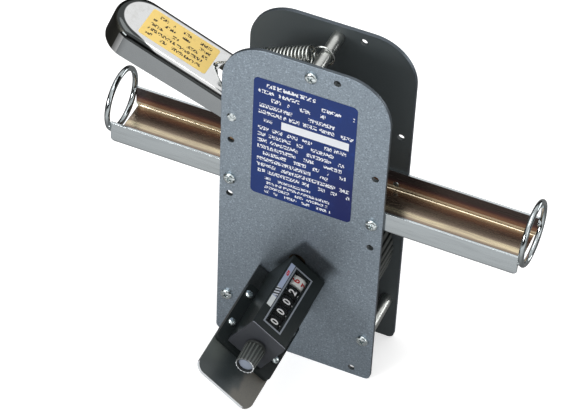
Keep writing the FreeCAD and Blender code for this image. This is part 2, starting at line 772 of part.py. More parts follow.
def gear_solid(teeth, module, width, bore, turn, thinning=0.12):
    """A spur gear along +Y from y = 0, with one tooth at the angle turn from +X towards +Z."""
    corners = [
        V(radius * math.cos(angle + turn), 0, radius * math.sin(angle + turn))
        for radius, angle in tooth_points(teeth, module, thinning)
    ]
    face = Part.Face(Part.makePolygon(corners + corners[:1]))
    gear = face.extrude(V(0, width, 0))
    return gear.cut(Part.makeCylinder(bore, width, V(0, 0, 0), V(0, 1, 0)))


def shaped(shape, x, y, z):
    feature = doc.addObject("Part::Feature", "shaped")
    feature.Shape = shape
    return place(feature, x, y, z)


gear_start = front_inner + mm.flange_thickness + mm.side_play
half_tooth = math.pi / float(mm.gear_teeth)
towards_input = math.atan2(-float(input_drop), float(mm.input_aside))
node("wheel_gear", shaped(
    gear_solid(float(mm.gear_teeth), float(mm.gear_module), float(wheel_front - gear_start),
               float(mm.shaft_radius), towards_input),
    0, gear_start, wheel_z))
node("input_gear", shaped(
    gear_solid(float(mm.gear_teeth), float(mm.gear_module),
               float(wheel_front - gear_start - mm.side_play), float(mm.input_radius),
               towards_input + math.pi + half_tooth),
    mm.input_aside, gear_start, input_z))


# ---- lever, roller and return spring -----------------------------------------------------------

slope_sine = sine(mm.handle_slope)
slope_cosine = cosine(mm.handle_slope)


def on_handle(along, rise):
    """A point of the lever, given from its pivot, in the plates' X and Z."""
    x = left_x + along * slope_cosine + rise * slope_sine
    z = pivot_z - along * slope_sine + rise * slope_cosine
    return x, z


axle_across = -left_x
axle_drop = axle_z - pivot_z
axle_along = axle_across * slope_cosine - axle_drop * slope_sine
axle_rise = axle_across * slope_sine + axle_drop * slope_cosine


def handle_lever():
    """A lever drawn from sheet: a U upside down with a round nose, and arms for the roller."""
    lever = body("handle_lever")
    half = mm.handle_width / 2
    wall = mm.handle_wall
    top = mm.handle_rise
    reach = mm.handle_reach
    side = sketch(lever, "XZ")
    outline(side, [
        (-reach, top), (mm.handle_tail, top),
        (axle_along + lobe_aside, axle_rise + lobe_above), (axle_along, axle_rise),
        (axle_along - lobe_aside, axle_rise - lobe_above),
        (pivot_lobe, top - mm.handle_neck_depth),
        (-pivot_lobe, top - mm.handle_neck_depth),
        (-reach, top - mm.handle_nose_depth),
    ])
    pad(lever, side, mm.handle_width, symmetric=True)
    lobe = sketch(lever, "XZ")
    circles(lobe, [(axle_along, axle_rise, mm.lobe_radius)])
    pad(lever, lobe, mm.handle_width, symmetric=True)
    upright = V(0, 0, 1)
    soften(lever, "Fillet", half - 0.05,
           lambda e: runs_along(e, upright) and near(e.BoundBox.XMin, -reach))
    soften(lever, "Fillet", mm.handle_bend,
           lambda e: near(e.BoundBox.ZMin, top) and near(e.BoundBox.ZMax, top)
           and not near(e.BoundBox.XMin, mm.handle_tail))
    nose = half - reach
    inner = sketch(lever, "XY", top - wall)
    outline(inner, [(nose, wall - half), (reach, wall - half), (reach, half - wall),
                    (nose, half - wall)])
    pocket(lever, inner, reach)
    inner_nose = sketch(lever, "XY", top - wall)
    circles(inner_nose, [(nose, 0, half - wall)])
    pocket(lever, inner_nose, reach)
    cross = sketch(lever, "XZ")
    circles(cross, [(0, 0, mm.pivot_radius + mm.running), (axle_along, axle_rise, mm.axle_radius)])
    pocket(lever, cross, mm.handle_width * 2, symmetric=True)
    holes = sketch(lever, "XY", top)
    circles(holes, [
        (-mm.spring_hole_reach, 0, mm.spring_hole_radius),
        (-mm.hook_hole_reach, 0, mm.hook_hole_radius),
    ])
    pocket(lever, holes, wall)
    return place(lever, left_x, mid_y, pivot_z, tilt=mm.handle_slope)


# The arms meet their round ends on a line that leans by this angle from the lever's top.
arm_lean = math.radians(37)
lobe_aside = mm.lobe_radius * math.cos(arm_lean)
lobe_above = mm.lobe_radius * math.sin(arm_lean)
pivot_lobe = mm.handle_neck_depth - mm.handle_rise
node("handle_lever", handle_lever())

plaque_x, plaque_z = on_handle(-mm.plaque_reach - mm.plaque_length, mm.handle_rise)
plaque = body("handle_label")
blank = sketch(plaque, "XY")
outline(blank, [
    (0, -mm.plaque_width / 2), (mm.plaque_length, -mm.plaque_width / 2),
    (mm.plaque_length, mm.plaque_width / 2), (0, mm.plaque_width / 2),
])
pad(plaque, blank, mm.foil)
soften(plaque, "Fillet", mm.plaque_radius, lambda e: runs_along(e, V(0, 0, 1)))
node("handle_label", place(plaque, plaque_x, mid_y, plaque_z, tilt=mm.handle_slope))

handle_front = mid_y - mm.handle_width / 2
handle_back = mid_y + mm.handle_width / 2
node("pivot_sleeve", tube(mm.spacer_radius, mm.pivot_radius + mm.running,
                          mm.handle_width - mm.handle_wall * 2,
                          left_x, handle_front + mm.handle_wall, pivot_z))
spacer_length = handle_front - front_inner - mm.side_play
node("pivot_spacers", group([
    tube(mm.spacer_radius, mm.pivot_radius, spacer_length, left_x, start, pivot_z)
    for start in (front_inner, rear_inner - spacer_length)
]))
pin_length = rear_face - front_face
node("pivot_pin", fuse(
    cylinder(mm.pivot_radius, pin_length, left_x, front_face, pivot_z),
    cone(mm.pivot_head_radius, mm.pivot_head_top, mm.pivot_head_height,
         left_x, front_face, pivot_z, FreeCAD.Rotation(V(1, 0, 0), 90)),
    cone(mm.pivot_head_radius, mm.pivot_head_top, mm.pivot_head_height,
         left_x, rear_face, pivot_z),
))

axle_start = front_inner + mm.side_play
node("roller_axle", cylinder(mm.axle_radius, plate_gap - mm.side_play * 2, 0, axle_start, axle_z))
node("axle_clips", group([
    tube(mm.clip_radius, mm.axle_radius, mm.clip_thickness, 0, start, axle_z)
    for start in (handle_front - mm.clip_thickness, handle_back)
]))
washer_length = (mm.handle_width - mm.handle_wall * 2 - mm.roller_width) / 2 - mm.side_play
node("roller_washers", group([
    tube(mm.washer_radius, mm.axle_radius, washer_length, 0, start, axle_z)
    for start in (handle_front + mm.handle_wall, handle_back - mm.handle_wall - washer_length)
]))
roller_front = mid_y - mm.roller_width / 2


def pressure_roller():
    """A roller with rounded shoulders and a bore for its bush."""
    roller = body("pressure_roller")
    blank = sketch(roller, "XZ")
    circles(blank, [(0, 0, roller_radius), (0, 0, mm.roller_bush_radius)])
    pad(roller, blank, mm.roller_width, symmetric=True)
    soften(roller, "Fillet", mm.roller_edge, lambda e: near(e.BoundBox.XMax, roller_radius)
           and near(e.BoundBox.YLength, 0))
    return place(roller, 0, mid_y, axle_z)


node("pressure_roller", pressure_roller())
node("roller_bush", tube(mm.roller_bush_radius, mm.axle_radius + mm.running, mm.roller_width,
                         0, roller_front, axle_z))


def return_spring():
    """A close-wound extension spring: a coil with a ridge for each turn, a hook and a loop."""
    hook_x, hook_z = on_handle(-mm.hook_hole_reach, mm.handle_rise + mm.hook_lift)
    start = V(float(hook_x), float(mid_y), float(hook_z))
    end = V(float(mm.top_post_offset), float(mid_y), float(top_z))
    axis = (end - start).normalize()
    wire = float(mm.spring_wire) / 2
    loop_radius = float(mm.post_radius + mm.loop_slack) + wire
    lead = float(mm.spring_lead)
    loop_centre = (end - start).Length + float(mm.running - mm.loop_slack)
    length = loop_centre - loop_radius - lead
    outside = float(mm.spring_radius)
    turns = int(float(mm.spring_turns))
    pitch = length / turns
    ridges = []
    for turn in range(turns):
        ridges.append(V(outside - wire * 0.7, 0, lead + turn * pitch))
        ridges.append(V(outside, 0, lead + (turn + 0.5) * pitch))
    ridges.append(V(outside - wire * 0.7, 0, lead + length))
    inner = outside - wire * 2
    profile = ridges + [V(inner, 0, lead + length), V(inner, 0, lead)]
    coil = Part.Face(Part.makePolygon(profile + profile[:1])).revolve(V(0, 0, 0), V(0, 0, 1), 360)
    inset = wire * 1.3
    hook = Part.makeCylinder(wire, lead + inset, V(0, 0, 0), V(0, 0, 1))
    bridge = Part.makeCylinder(wire, outside - wire, V(0, 0, lead + inset), V(1, 0, 0))
    far = lead + length
    tail_bridge = Part.makeCylinder(wire, outside - wire, V(0, 0, far - inset), V(1, 0, 0))
    loop = Part.makeTorus(loop_radius, wire, V(0, 0, far + loop_radius), V(0, 1, 0))
    spring = coil.fuse([hook, bridge, tail_bridge, loop])
    spring.rotate(V(0, 0, 0), V(0, 1, 0), math.degrees(math.atan2(axis.x, axis.z)))
    spring.translate(start)
    through = V(-float(slope_sine), 0, -float(slope_cosine))
    leg = Part.makeCylinder(wire, float(mm.hook_lift + mm.handle_wall + mm.hook_depth), start, through)
    spring = spring.fuse([leg, Part.makeSphere(wire, start)]).removeSplitter()
    feature = doc.addObject("Part::Feature", "spring")
    feature.Shape = spring
    return feature


node("return_spring", return_spring())


# ---- counter bracket ---------------------------------------------------------------------------

def on_shelf(thing, across, out, height):
    """Places a piece of the counter: across the bracket, out from the front plate, and up."""
    x, z = on_bracket(as_size(across), as_size(height))
    return place(thing, x, front_face - out, z, tilt=mm.counter_tilt)


EAR_SCREWS = [
    (across, out)
    for across in (mm.ear_screw_inset, mm.bracket_width - mm.ear_screw_inset)
    for out in (mm.ear_screw_near, mm.ear_screw_far)
]


def counter_bracket():
    """A shelf of sheet with round front corners and a flange bent down on the front plate."""
    bracket = body("counter_bracket")
    width = mm.bracket_width
    reach = mm.bracket_reach
    shelf = sketch(bracket, "XY")
    outline(shelf, [(0, 0), (width, 0), (width, reach), (0, reach)])
    pad(bracket, shelf, mm.bracket_sheet, reverse=True)
    flange = sketch(bracket, "XZ", -reach)
    outline(flange, [
        (mm.flange_inset, 0), (width - mm.flange_inset, 0),
        (width - mm.flange_inset, -mm.bracket_flange), (mm.flange_inset, -mm.bracket_flange),
    ])
    pad(bracket, flange, mm.bracket_sheet)
    upright = V(0, 0, 1)
    soften(bracket, "Fillet", mm.bracket_corner,
           lambda e: runs_along(e, upright) and near(e.BoundBox.YMin, 0)
           and near(e.BoundBox.YMax, 0))
    soften(bracket, "Fillet", mm.bracket_bend,
           lambda e: runs_along(e, V(1, 0, 0)) and near(e.BoundBox.YMin, reach)
           and near(e.BoundBox.ZMin, 0))
    drilling = sketch(bracket, "XZ")
    circles(drilling, [
        (across, -BRACKET_SCREW_DROP, mm.small_screw_radius)
        for across in (BRACKET_SCREW_INSET, width - BRACKET_SCREW_INSET)
    ])
    pocket(bracket, drilling, reach * 3, symmetric=True)
    foot_holes = sketch(bracket, "XY")
    circles(foot_holes, [(across, reach - out, mm.small_screw_radius) for across, out in EAR_SCREWS])
    pocket(bracket, foot_holes, mm.bracket_sheet * 3, symmetric=True)
    return on_shelf(bracket, 0, reach, 0)


node("counter_bracket", counter_bracket())
node("bracket_screws", group([
    pan_screw(x, front_face - mm.bracket_sheet, z, mm.small_screw_radius, mm.small_head_radius,
              mm.small_head_height, mm.bracket_sheet + mm.plate_thickness)
    for x, z in BRACKET_SCREWS
]))


# ---- counter -----------------------------------------------------------------------------------
# Its pieces are drawn with X across the bracket, Y towards the front plate from the plate's face
# outwards (so Y is negative) and Z up from the bracket, and on_shelf tilts them into place.

case_floor = mm.ear_thickness
window_left = mm.case_left + mm.window_inset
window_right = window_left + mm.window_width
window_length = mm.window_far - mm.window_near


def counter_base():
    """The counter's foot: a floor under the case, with an ear for two screws on each side."""
    base = body("counter_base")
    ears = sketch(base, "XY")
    right = mm.bracket_width
    outline(ears, [
        (0, -mm.ear_end), (right, -mm.ear_end), (right, -mm.ear_start), (case_right, -mm.ear_start),
        (case_right, -mm.case_start), (mm.case_left, -mm.case_start), (mm.case_left, -mm.ear_start),
        (0, -mm.ear_start),
    ])
    pad(base, ears, mm.ear_thickness)
    soften(base, "Fillet", mm.ear_screw_inset * 0.8,
           lambda e: runs_along(e, V(0, 0, 1)) and (near(e.BoundBox.XMin, 0)
                                                    or near(e.BoundBox.XMin, right)))
    holes = sketch(base, "XY", mm.ear_thickness)
    circles(holes, [(across, -out, mm.small_screw_radius) for across, out in EAR_SCREWS])
    pocket(base, holes)
    return on_shelf(base, 0, 0, 0)


def counter_housing():
    """The case: five walls open towards the cap and the foot, with a window in its top."""
    case = body("counter_housing")
    wall = mm.case_wall
    length = mm.case_end - mm.case_start
    profile = sketch(case, "XZ", mm.case_start)
    outline(profile, [
        (mm.case_left, case_floor), (case_right, case_floor), (case_right, mm.case_height),
        (mm.case_left, mm.case_height),
    ])
    pad(case, profile, length)
    soften(case, "Fillet", mm.case_edge,
           lambda e: runs_along(e, V(0, 1, 0)) and near(e.BoundBox.ZMin, mm.case_height))
    hollow = sketch(case, "XZ", mm.case_end)
    outline(hollow, [
        (mm.case_left + wall, case_floor - 1), (case_right - wall, case_floor - 1),
        (case_right - wall, mm.case_height - wall), (mm.case_left + wall, mm.case_height - wall),
    ])
    pocket(case, hollow, length - wall)
    for inset, depth in ((mm.frame_line, mm.lens_thickness),
                         (mm.frame_line + mm.window_ledge, wall * 2)):
        window = sketch(case, "XY", mm.case_height)
        outline(window, [
            (window_left + inset, inset - mm.window_far),
            (window_right - inset, inset - mm.window_far),
            (window_right - inset, -mm.window_near - inset),
            (window_left + inset, -mm.window_near - inset),
        ])
        pocket(case, window, depth)
    bore = sketch(case, "XZ", mm.case_start)
    circles(bore, [(mm.figure_across, mm.figure_height, mm.input_radius + mm.running)])
    pocket(case, bore, wall * 2, reverse=True)
    return on_shelf(case, 0, 0, 0)


def end_cap():
    """The cap that closes the case: it leans out to its foot and has a bore for the shaft."""
    cap = body("counter_end_cap")
    profile = sketch(cap, "YZ", mm.case_left)
    outline(profile, [
        (-mm.case_end, case_floor), (-mm.case_end, mm.case_height),
        (-mm.case_end - mm.cap_top, mm.case_height), (-mm.case_end - mm.cap_foot, case_floor),
    ])
    pad(cap, profile, mm.case_width)
    soften(cap, "Fillet", mm.case_edge,
           lambda e: runs_along(e, V(0, 1, 0)) and near(e.BoundBox.ZMin, mm.case_height))
    bore = sketch(cap, "XZ")
    circles(bore, [(mm.figure_across, mm.figure_height, mm.reset_radius + mm.running)])
    pocket(cap, bore, symmetric=True)
    return on_shelf(cap, 0, 0, 0)


node("counter_base", counter_base())
node("counter_housing", counter_housing())
node("counter_end_cap", end_cap())

inside_width = mm.window_width - mm.frame_line * 2
inside_length = window_length - mm.frame_line * 2
bezel = cut(
    box(mm.window_width, window_length, mm.frame_rise, window_left, -mm.window_far, mm.case_height),
    box(inside_width, inside_length, mm.frame_rise, window_left + mm.frame_line,
        -mm.window_far + mm.frame_line, mm.case_height),
)
node("window_bezel", on_shelf(bezel, 0, 0, 0))
lens = group([box(inside_width, inside_length, mm.lens_thickness, window_left + mm.frame_line,
                  -mm.window_far + mm.frame_line, mm.case_height - mm.lens_thickness)])
node("window_lens", on_shelf(lens, 0, 0, 0))
strip = group([box(mm.legend_width, mm.legend_far - mm.legend_near, mm.foil,
                   window_left - mm.legend_width - mm.legend_gap, -mm.legend_far, mm.case_height)])
node("legend_strip", on_shelf(strip, 0, 0, 0))

FOOT_SCREWS = []
FOOT_NUTS = []
UP = FreeCAD.Rotation()
for across, out in EAR_SCREWS:
    grip = mm.ear_thickness + mm.bracket_sheet + mm.nut_height
    step = mm.small_head_height / 2
    head = mm.ear_thickness
    FOOT_SCREWS.append(fuse(
        cylinder(mm.small_screw_radius, grip, across, -out, head - grip, UP),
        cylinder(mm.small_head_radius, step, across, -out, head, UP),
        cone(mm.small_head_radius, mm.small_head_radius * mm.head_taper, step, across, -out, head + step, UP),
    ))
    nut = doc.addObject("Part::Prism", "nut")
    nut.Polygon = 6
    bind(nut, "Circumradius", mm.nut_radius)
    bind(nut, "Height", mm.nut_height)
    place(nut, across, -out, head - grip)
    FOOT_NUTS.append(cut(nut, cylinder(mm.small_screw_radius, mm.nut_height, across, -out,
                                       head - grip, UP)))
node("counter_screws", on_shelf(group(FOOT_SCREWS), 0, 0, 0))
node("counter_nuts", on_shelf(group(FOOT_NUTS), 0, 0, 0))

# The number wheels, from the one beside the front plate outwards.
FIGURES = ["tenths_wheel", "units_wheel", "tens_wheel", "hundreds_wheel", "thousands_wheel"]
figure_width = mm.figure_pitch - mm.figure_gap


def number_wheel(name, index):
    """A drum on the counter's axis. The first one is fixed on the drive shaft."""
    centre = mm.first_figure + mm.figure_pitch * index
    nearest = centre - figure_width / 2
    farthest = centre + figure_width / 2
    drum = cylinder(mm.figure_radius, figure_width, 0, -farthest, 0)
    hollow = tube(mm.figure_radius - mm.figure_rim, mm.figure_hub, mm.figure_recess,
                  0, -farthest, 0)
    bore = cylinder(mm.reset_radius + mm.running, figure_width, 0, -farthest, 0)
    tools = [hollow, bore]
    if index == 0:
        tools.append(cylinder(mm.input_radius, centre - nearest, 0, -centre, 0))
    return node(name, on_shelf(cut(drum, *tools), mm.figure_across, 0, mm.figure_height))


for index, name in enumerate(FIGURES):
    number_wheel(name, index)

input_end = front_face - mm.first_figure
node("input_shaft", cylinder(mm.input_radius, wheel_front - mm.side_play - input_end,
                             mm.input_aside, input_end, input_z))

knob_start = mm.case_end + mm.cap_foot + mm.side_play
knob_end = knob_start + mm.knob_length
knob_floor = knob_end - mm.knob_recess
shaft_tip = knob_floor - mm.knob_floor_wall
knob_hollow = mm.knob_end_radius - mm.knob_rim


def reset_knob():
    """A fluted knob with a hollow in its outer end and a bore for the reset shaft."""
    knob = body("reset_knob")
    profile = sketch(knob, "YZ")
    outline(profile, [
        (-knob_start, mm.reset_radius), (-knob_start, mm.knob_base_radius),
        (-knob_end, mm.knob_end_radius), (-knob_end, knob_hollow), (-knob_floor, knob_hollow),
        (-knob_floor, 0), (-shaft_tip, 0), (-shaft_tip, mm.reset_radius),
    ])
    revolve(knob, profile)
    flute = sketch(knob, "XZ", knob_end)
    circles(flute, [(0, mm.knob_end_radius + mm.flute_rise, mm.flute_radius)])
    first = pocket(knob, flute, mm.knob_length - mm.flute_stop)
    polar(knob, first, mm.knob_flutes)
    return on_shelf(knob, mm.figure_across, 0, mm.figure_height)


node("reset_knob", reset_knob())
node("knob_cap", cylinder(knob_hollow - mm.cap_gap, mm.cap_disc, mm.input_aside,
                          front_face - knob_floor - mm.cap_disc, input_z))
reset_start = mm.first_figure + mm.side_play
node("reset_shaft", cylinder(mm.reset_radius, shaft_tip - reset_start, mm.input_aside,
                             front_face - shaft_tip, input_z))


# ---- check and export --------------------------------------------------------------------------

doc.recompute()
os.makedirs("parts", exist_ok=True)
for item in doc.Objects:
    if "Invalid" in item.State or "Error" in item.State:
        raise RuntimeError(f"{item.Label} of type {item.TypeId} has not been computed")
for name, item in NODES.items():
    if item.Shape.isNull() or not item.Shape.isValid() or not item.Shape.Solids:
        raise RuntimeError(f"{name} has no valid solid shape")
    item.Shape.exportStep(f"parts/{name}.step")
print(len(NODES), "pieces")
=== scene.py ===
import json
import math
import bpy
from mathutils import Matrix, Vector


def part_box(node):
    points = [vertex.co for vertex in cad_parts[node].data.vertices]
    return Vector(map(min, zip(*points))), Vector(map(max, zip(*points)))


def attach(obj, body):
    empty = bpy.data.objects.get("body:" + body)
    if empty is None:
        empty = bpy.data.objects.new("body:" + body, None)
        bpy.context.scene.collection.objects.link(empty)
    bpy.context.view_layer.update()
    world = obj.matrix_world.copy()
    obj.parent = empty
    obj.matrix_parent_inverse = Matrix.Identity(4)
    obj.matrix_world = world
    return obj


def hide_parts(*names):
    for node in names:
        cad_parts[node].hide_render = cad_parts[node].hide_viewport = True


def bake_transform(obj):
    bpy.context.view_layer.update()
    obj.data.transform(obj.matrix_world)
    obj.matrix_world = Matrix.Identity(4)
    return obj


bl_info = {
    "name": "Cable length counter",
    "version": (1, 0, 0),
    "blender": (4, 5, 0),
    "location": "View3D > Sidebar > Length counter",
    "description": "Finishes and fine pieces of a bench counter for rope and cable",
    "category": "Object",
}

import bmesh
import bpy
from bpy.props import FloatProperty, FloatVectorProperty, IntProperty, PointerProperty
from mathutils import Matrix, Vector

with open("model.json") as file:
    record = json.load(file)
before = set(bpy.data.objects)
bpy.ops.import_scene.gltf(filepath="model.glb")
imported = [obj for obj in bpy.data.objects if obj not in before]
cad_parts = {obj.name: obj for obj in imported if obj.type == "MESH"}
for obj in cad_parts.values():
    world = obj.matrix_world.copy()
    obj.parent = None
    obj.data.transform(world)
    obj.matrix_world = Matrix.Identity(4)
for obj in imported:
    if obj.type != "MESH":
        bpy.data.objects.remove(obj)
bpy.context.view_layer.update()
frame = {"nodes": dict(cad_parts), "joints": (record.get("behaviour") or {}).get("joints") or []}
NODES = frame["nodes"]
JOINTS = {joint["name"]: joint for joint in frame["joints"]}
MM = 0.001


def joint_point(name):
    return Vector(JOINTS[name]["pos_m"])


PLATE_LOW, PLATE_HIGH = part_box("front_plate")
REAR_LOW, REAR_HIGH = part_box("rear_plate")
PANEL_LOW, PANEL_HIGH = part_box("plate_label")
FIGURE_AXIS = joint_point("units_spin")
PIVOT = joint_point("lever_pivot")


# ---- what a user would change ------------------------------------------------------------------

def length(name, default, description):
    return FloatProperty(name=name, description=description, default=default, min=0,
                         subtype="DISTANCE", unit="LENGTH", precision=5)


def angle(name, default, description):
    return FloatProperty(name=name, description=description, default=math.radians(default),
                         subtype="ANGLE", unit="ROTATION")


def colour(name, default, description):
    return FloatVectorProperty(name=name, description=description, default=default, size=3,
                               min=0, max=1, subtype="COLOR")


class MeterSizes(bpy.types.PropertyGroup):
    """Sizes of the fine pieces."""

    counter_tilt: angle("Counter slope", 34.9, "Slope of the counter on the front plate")
    lever_slope: angle("Lever slope", 21.2, "Slope of the lever at rest")
    lever_rise: length("Lever rise", 8.0 * MM, "Top of the lever above its pivot")
    lever_sheet: length("Lever sheet", 2.0 * MM, "Sheet of the lever")
    nose_start: length("Nose start", 73.75 * MM, "Pivot to the middle of the lever's round nose")
    hook_reach: length("Hook reach", 24.4 * MM, "Pivot to the spring's hook hole in the lever")
    hook_lift: length("Hook lift", 2.0 * MM, "Bend of the spring's hook above the lever")
    hook_end: length("Hook end", 1.5 * MM, "End of the spring's hook below the lever's sheet")
    spring_lead: length("Spring lead", 28.0 * MM, "From the hook to the spring's first turn")
    spring_wire: length("Spring wire", 0.7 * MM, "Radius of the return spring's wire")
    spring_coil: length("Spring coil", 6.3 * MM, "Radius of the spring, to the middle of its wire")
    spring_turns: IntProperty(name="Spring turns", description="Turns of the return spring",
                              default=15, min=3)
    loop_slack: length("Loop slack", 1.6 * MM, "How much larger the spring's loop is than the post")
    shoulder: length("Shoulder", 28.0 * MM, "Radius of the side plates' upper corners")
    screw_head: length("Screw head", 4.0 * MM, "Radius of the plate screws' heads")
    screw_head_height: length("Screw head height", 2.4 * MM, "Height of the plate screws' heads")
    screw_shank: length("Screw shank", 2.0 * MM, "Radius of the plate screws' shanks")
    small_head: length("Small head", 2.7 * MM, "Radius of the counter screws' heads")
    small_head_height: length("Small head height", 1.6 * MM, "Height of the counter screws' heads")
    small_shank: length("Small shank", 1.5 * MM, "Radius of the counter screws' shanks")
    bracket_corner: length("Bracket corner", 6.5 * MM, "Radius of the bracket's front corners")
    figure_height: length("Figure height", 5.3 * MM, "Height of the counter's figures")
    figure_across: length("Figure across", 21.0 * MM, "Bracket's upper edge to the figures' axis")
    figure_rise: length("Figure rise", 15.0 * MM, "Axis of the number wheels above the bracket")
    case_height: length("Case height", 28.0 * MM, "Top of the counter case above the bracket")
    figure_turn: angle("Figure turn", 8.0, "Turn of the figures towards the window's upper edge")
    reading: IntProperty(name="Reading", description="Tenths that the counter shows", default=26,
                         min=0, max=99999)
    rolled: FloatProperty(name="Rolled", description="How far the last wheel has passed its figure",
                          default=0.28, min=0, max=1)


class MeterColours(bpy.types.PropertyGroup):
    """Colours of the finishes."""

    enamel: colour("Enamel", (0.302, 0.358, 0.412), "Hammered enamel of the side plates")
    inside: colour("Inside", (0.060, 0.072, 0.076), "Inner faces of the side plates")
    panel: colour("Panel", (0.010, 0.031, 0.150), "Panel on the front plate")
    panel_print: colour("Panel print", (0.74, 0.76, 0.80), "Print on the front panel")
    plaque: colour("Lever panel", (0.93, 0.68, 0.22), "Panel on the lever")
    plaque_print: colour("Lever print", (0.05, 0.035, 0.02), "Print on the lever's panel")
    figures: colour("Figures", (0.97, 0.98, 0.97), "Figures of the whole numbers")
    tenths: colour("Tenths", (0.50, 0.02, 0.02), "Figures of the tenths")
    floor: colour("Floor", (0.86, 0.86, 0.86), "Bench top")


class MeterView(bpy.types.PropertyGroup):
    """Where the camera stands."""

    azimuth: angle("Azimuth", 21.731, "Camera's turn about the upright axis")
    elevation: angle("Elevation", 44.671, "Camera's height above the horizon")
    roll: angle("Roll", 2.826, "Camera's turn about its own line of sight")
    distance: length("Distance", 1.5573, "From the camera to the point that it looks at")
    lens: FloatProperty(name="Lens", description="Focal length for a sensor 36 mm wide",
                        default=164.2, min=1, unit="CAMERA")
    aim: FloatVectorProperty(name="Aim", description="Point that the camera looks at", size=3,
                             default=(-0.00628, -0.00125, 0.12558), subtype="TRANSLATION",
                             unit="LENGTH", precision=5)


# ---- shader maths ------------------------------------------------------------------------------

class Value:
    """A shader socket that Python's operators work on. Each operator adds a Math node."""

    def __init__(self, finish, socket):
        self.finish = finish
        self.socket = socket

    def _math(self, operation, *values):
        return self.finish.node("ShaderNodeMath", {"operation": operation}, dict(enumerate(values)))

    def __add__(self, other):
        return self._math("ADD", self, other)

    def __radd__(self, other):
        return self._math("ADD", other, self)

    def __sub__(self, other):
        return self._math("SUBTRACT", self, other)

    def __rsub__(self, other):
        return self._math("SUBTRACT", other, self)

    def __mul__(self, other):
        return self._math("MULTIPLY", self, other)

    def __rmul__(self, other):
        return self._math("MULTIPLY", other, self)

    def __truediv__(self, other):
        return self._math("DIVIDE", self, other)

    def __pow__(self, other):
        return self._math("POWER", self, other)

    def __gt__(self, other):
        return self._math("GREATER_THAN", self, other)

    def __lt__(self, other):
        return self._math("LESS_THAN", self, other)

    def __abs__(self):
        return self._math("ABSOLUTE", self)

    def at_least(self, other):
        return self._math("MAXIMUM", self, other)

    def floor(self):
        return self._math("FLOOR", self)

    def fraction(self):
        return self._math("FRACT", self)

    def within(self, low, high):
        return (self > low) * (self < high)

    def ramp(self, low, high, first=0.0, last=1.0):
        """Runs smoothly from first to last while the value runs from low to high."""
        values = {"Value": self, "From Min": low, "From Max": high, "To Min": first, "To Max": last}
        return self.finish.node("ShaderNodeMapRange", {"interpolation_type": "SMOOTHSTEP"}, values)

    def spread(self, first, last):
        """Runs from first to last over nearly the whole range of a noise."""
        return self.ramp(0.2, 0.8, first, last)


class Finish:
    """A material in the making: one Principled shader and the nodes that feed it."""

    def __init__(self, name, base, **settings):
        self.material = bpy.data.materials.new(name)
        self.material.use_nodes = True
        self.tree = self.material.node_tree
        self.tree.nodes.clear()
        self.shader = self.tree.nodes.new("ShaderNodeBsdfPrincipled")
        output = self.tree.nodes.new("ShaderNodeOutputMaterial")
        self.tree.links.new(self.shader.outputs[0], output.inputs[0])
        self.feed("Base Color", base)
        for socket, value in settings.items():
            self.feed(socket.replace("_", " ").title().replace("Ior", "IOR"), value)

    def feed(self, socket, value):
        self._put(self.shader.inputs[socket], value)

    def _put(self, socket, value):
        if isinstance(value, Value):
            self.tree.links.new(value.socket, socket)
        elif socket.type == "RGBA":
            socket.default_value = (*value, 1.0)[:4]
        else:
            socket.default_value = value

    def node(self, kind, settings=None, values=None, output=0):
        """Adds a node: first its settings, then the values or links of its sockets."""
        made = self.tree.nodes.new(kind)
        for setting, value in (settings or {}).items():
            setattr(made, setting, value)
        for socket, value in (values or {}).items():
            self._put(made.inputs[socket], value)
        return Value(self, made.outputs[output])

    def place(self):
        """The object's own coordinates as three values, in metres."""
        coordinates = self.node("ShaderNodeTexCoord", output=3)
        split = self.tree.nodes.new("ShaderNodeSeparateXYZ")
        self.tree.links.new(coordinates.socket, split.inputs[0])
        return [Value(self, split.outputs[axis]) for axis in range(3)]

    def shelf_place(self):
        """Places across the counter's bracket, out from the front plate and above the bracket."""
        x, y, z = self.place()
        tilt = sizes().counter_tilt
        aside = x - FIGURE_AXIS.x
        above = z - FIGURE_AXIS.z
        across = aside * math.cos(tilt) - above * math.sin(tilt) + sizes().figure_across
        height = aside * math.sin(tilt) + above * math.cos(tilt) + sizes().figure_rise
        return across, PLATE_LOW.y - y, height

    def vector(self, x, y, z):
        return self.node("ShaderNodeCombineXYZ", None, {0: x, 1: y, 2: z})

    def noise(self, size, detail=2.0, roughness=0.5, vector=None):
        """Noise from 0 to 1 whose features are about that many metres across."""
        vector = vector or self.node("ShaderNodeTexCoord", output=3)
        values = {"Vector": vector, "Scale": 1 / size, "Detail": detail, "Roughness": roughness}
        return self.node("ShaderNodeTexNoise", None, values)

    def cells(self, size):
        """Distance from the middles of soft-edged cells about that many metres across."""
        vector = self.node("ShaderNodeTexCoord", output=3)
        return self.node("ShaderNodeTexVoronoi", {"feature": "SMOOTH_F1"},
                         {"Vector": vector, "Scale": 1 / size, "Smoothness": 0.6})

    def mix(self, factor, first, second):
        """A colour between two."""
        values = {0: factor, 6: first, 7: second}
        return self.node("ShaderNodeMix", {"data_type": "RGBA"}, values, 2)

    def relief(self, height, depth, edge=0.0):
        """Bump of that depth in metres, over edges rounded by edge metres."""
        values = {"Height": height, "Distance": depth, "Strength": 1.0}
        if edge:
            values["Normal"] = self.soft_edges(edge)
        self.feed("Normal", self.node("ShaderNodeBump", None, values))

    def soft_edges(self, edge):
        """Normals that round the edges by that many metres."""
        return self.node("ShaderNodeBevel", {"samples": 4}, {"Radius": edge})

    def surface(self, shade, rough):
        """The material, with this colour and this roughness."""
        self.feed("Base Color", shade)
        self.feed("Roughness", rough)
        return self.material


def sizes():
    return bpy.context.scene.meter_sizes


def colours():
    return bpy.context.scene.meter_colours


def scaled(shade, factor):
    return tuple(min(1.0, channel * factor) for channel in shade)


def hypotenuse(first, second):
    return (first ** 2 + second ** 2) ** 0.5


# ---- finishes ----------------------------------------------------------------------------------

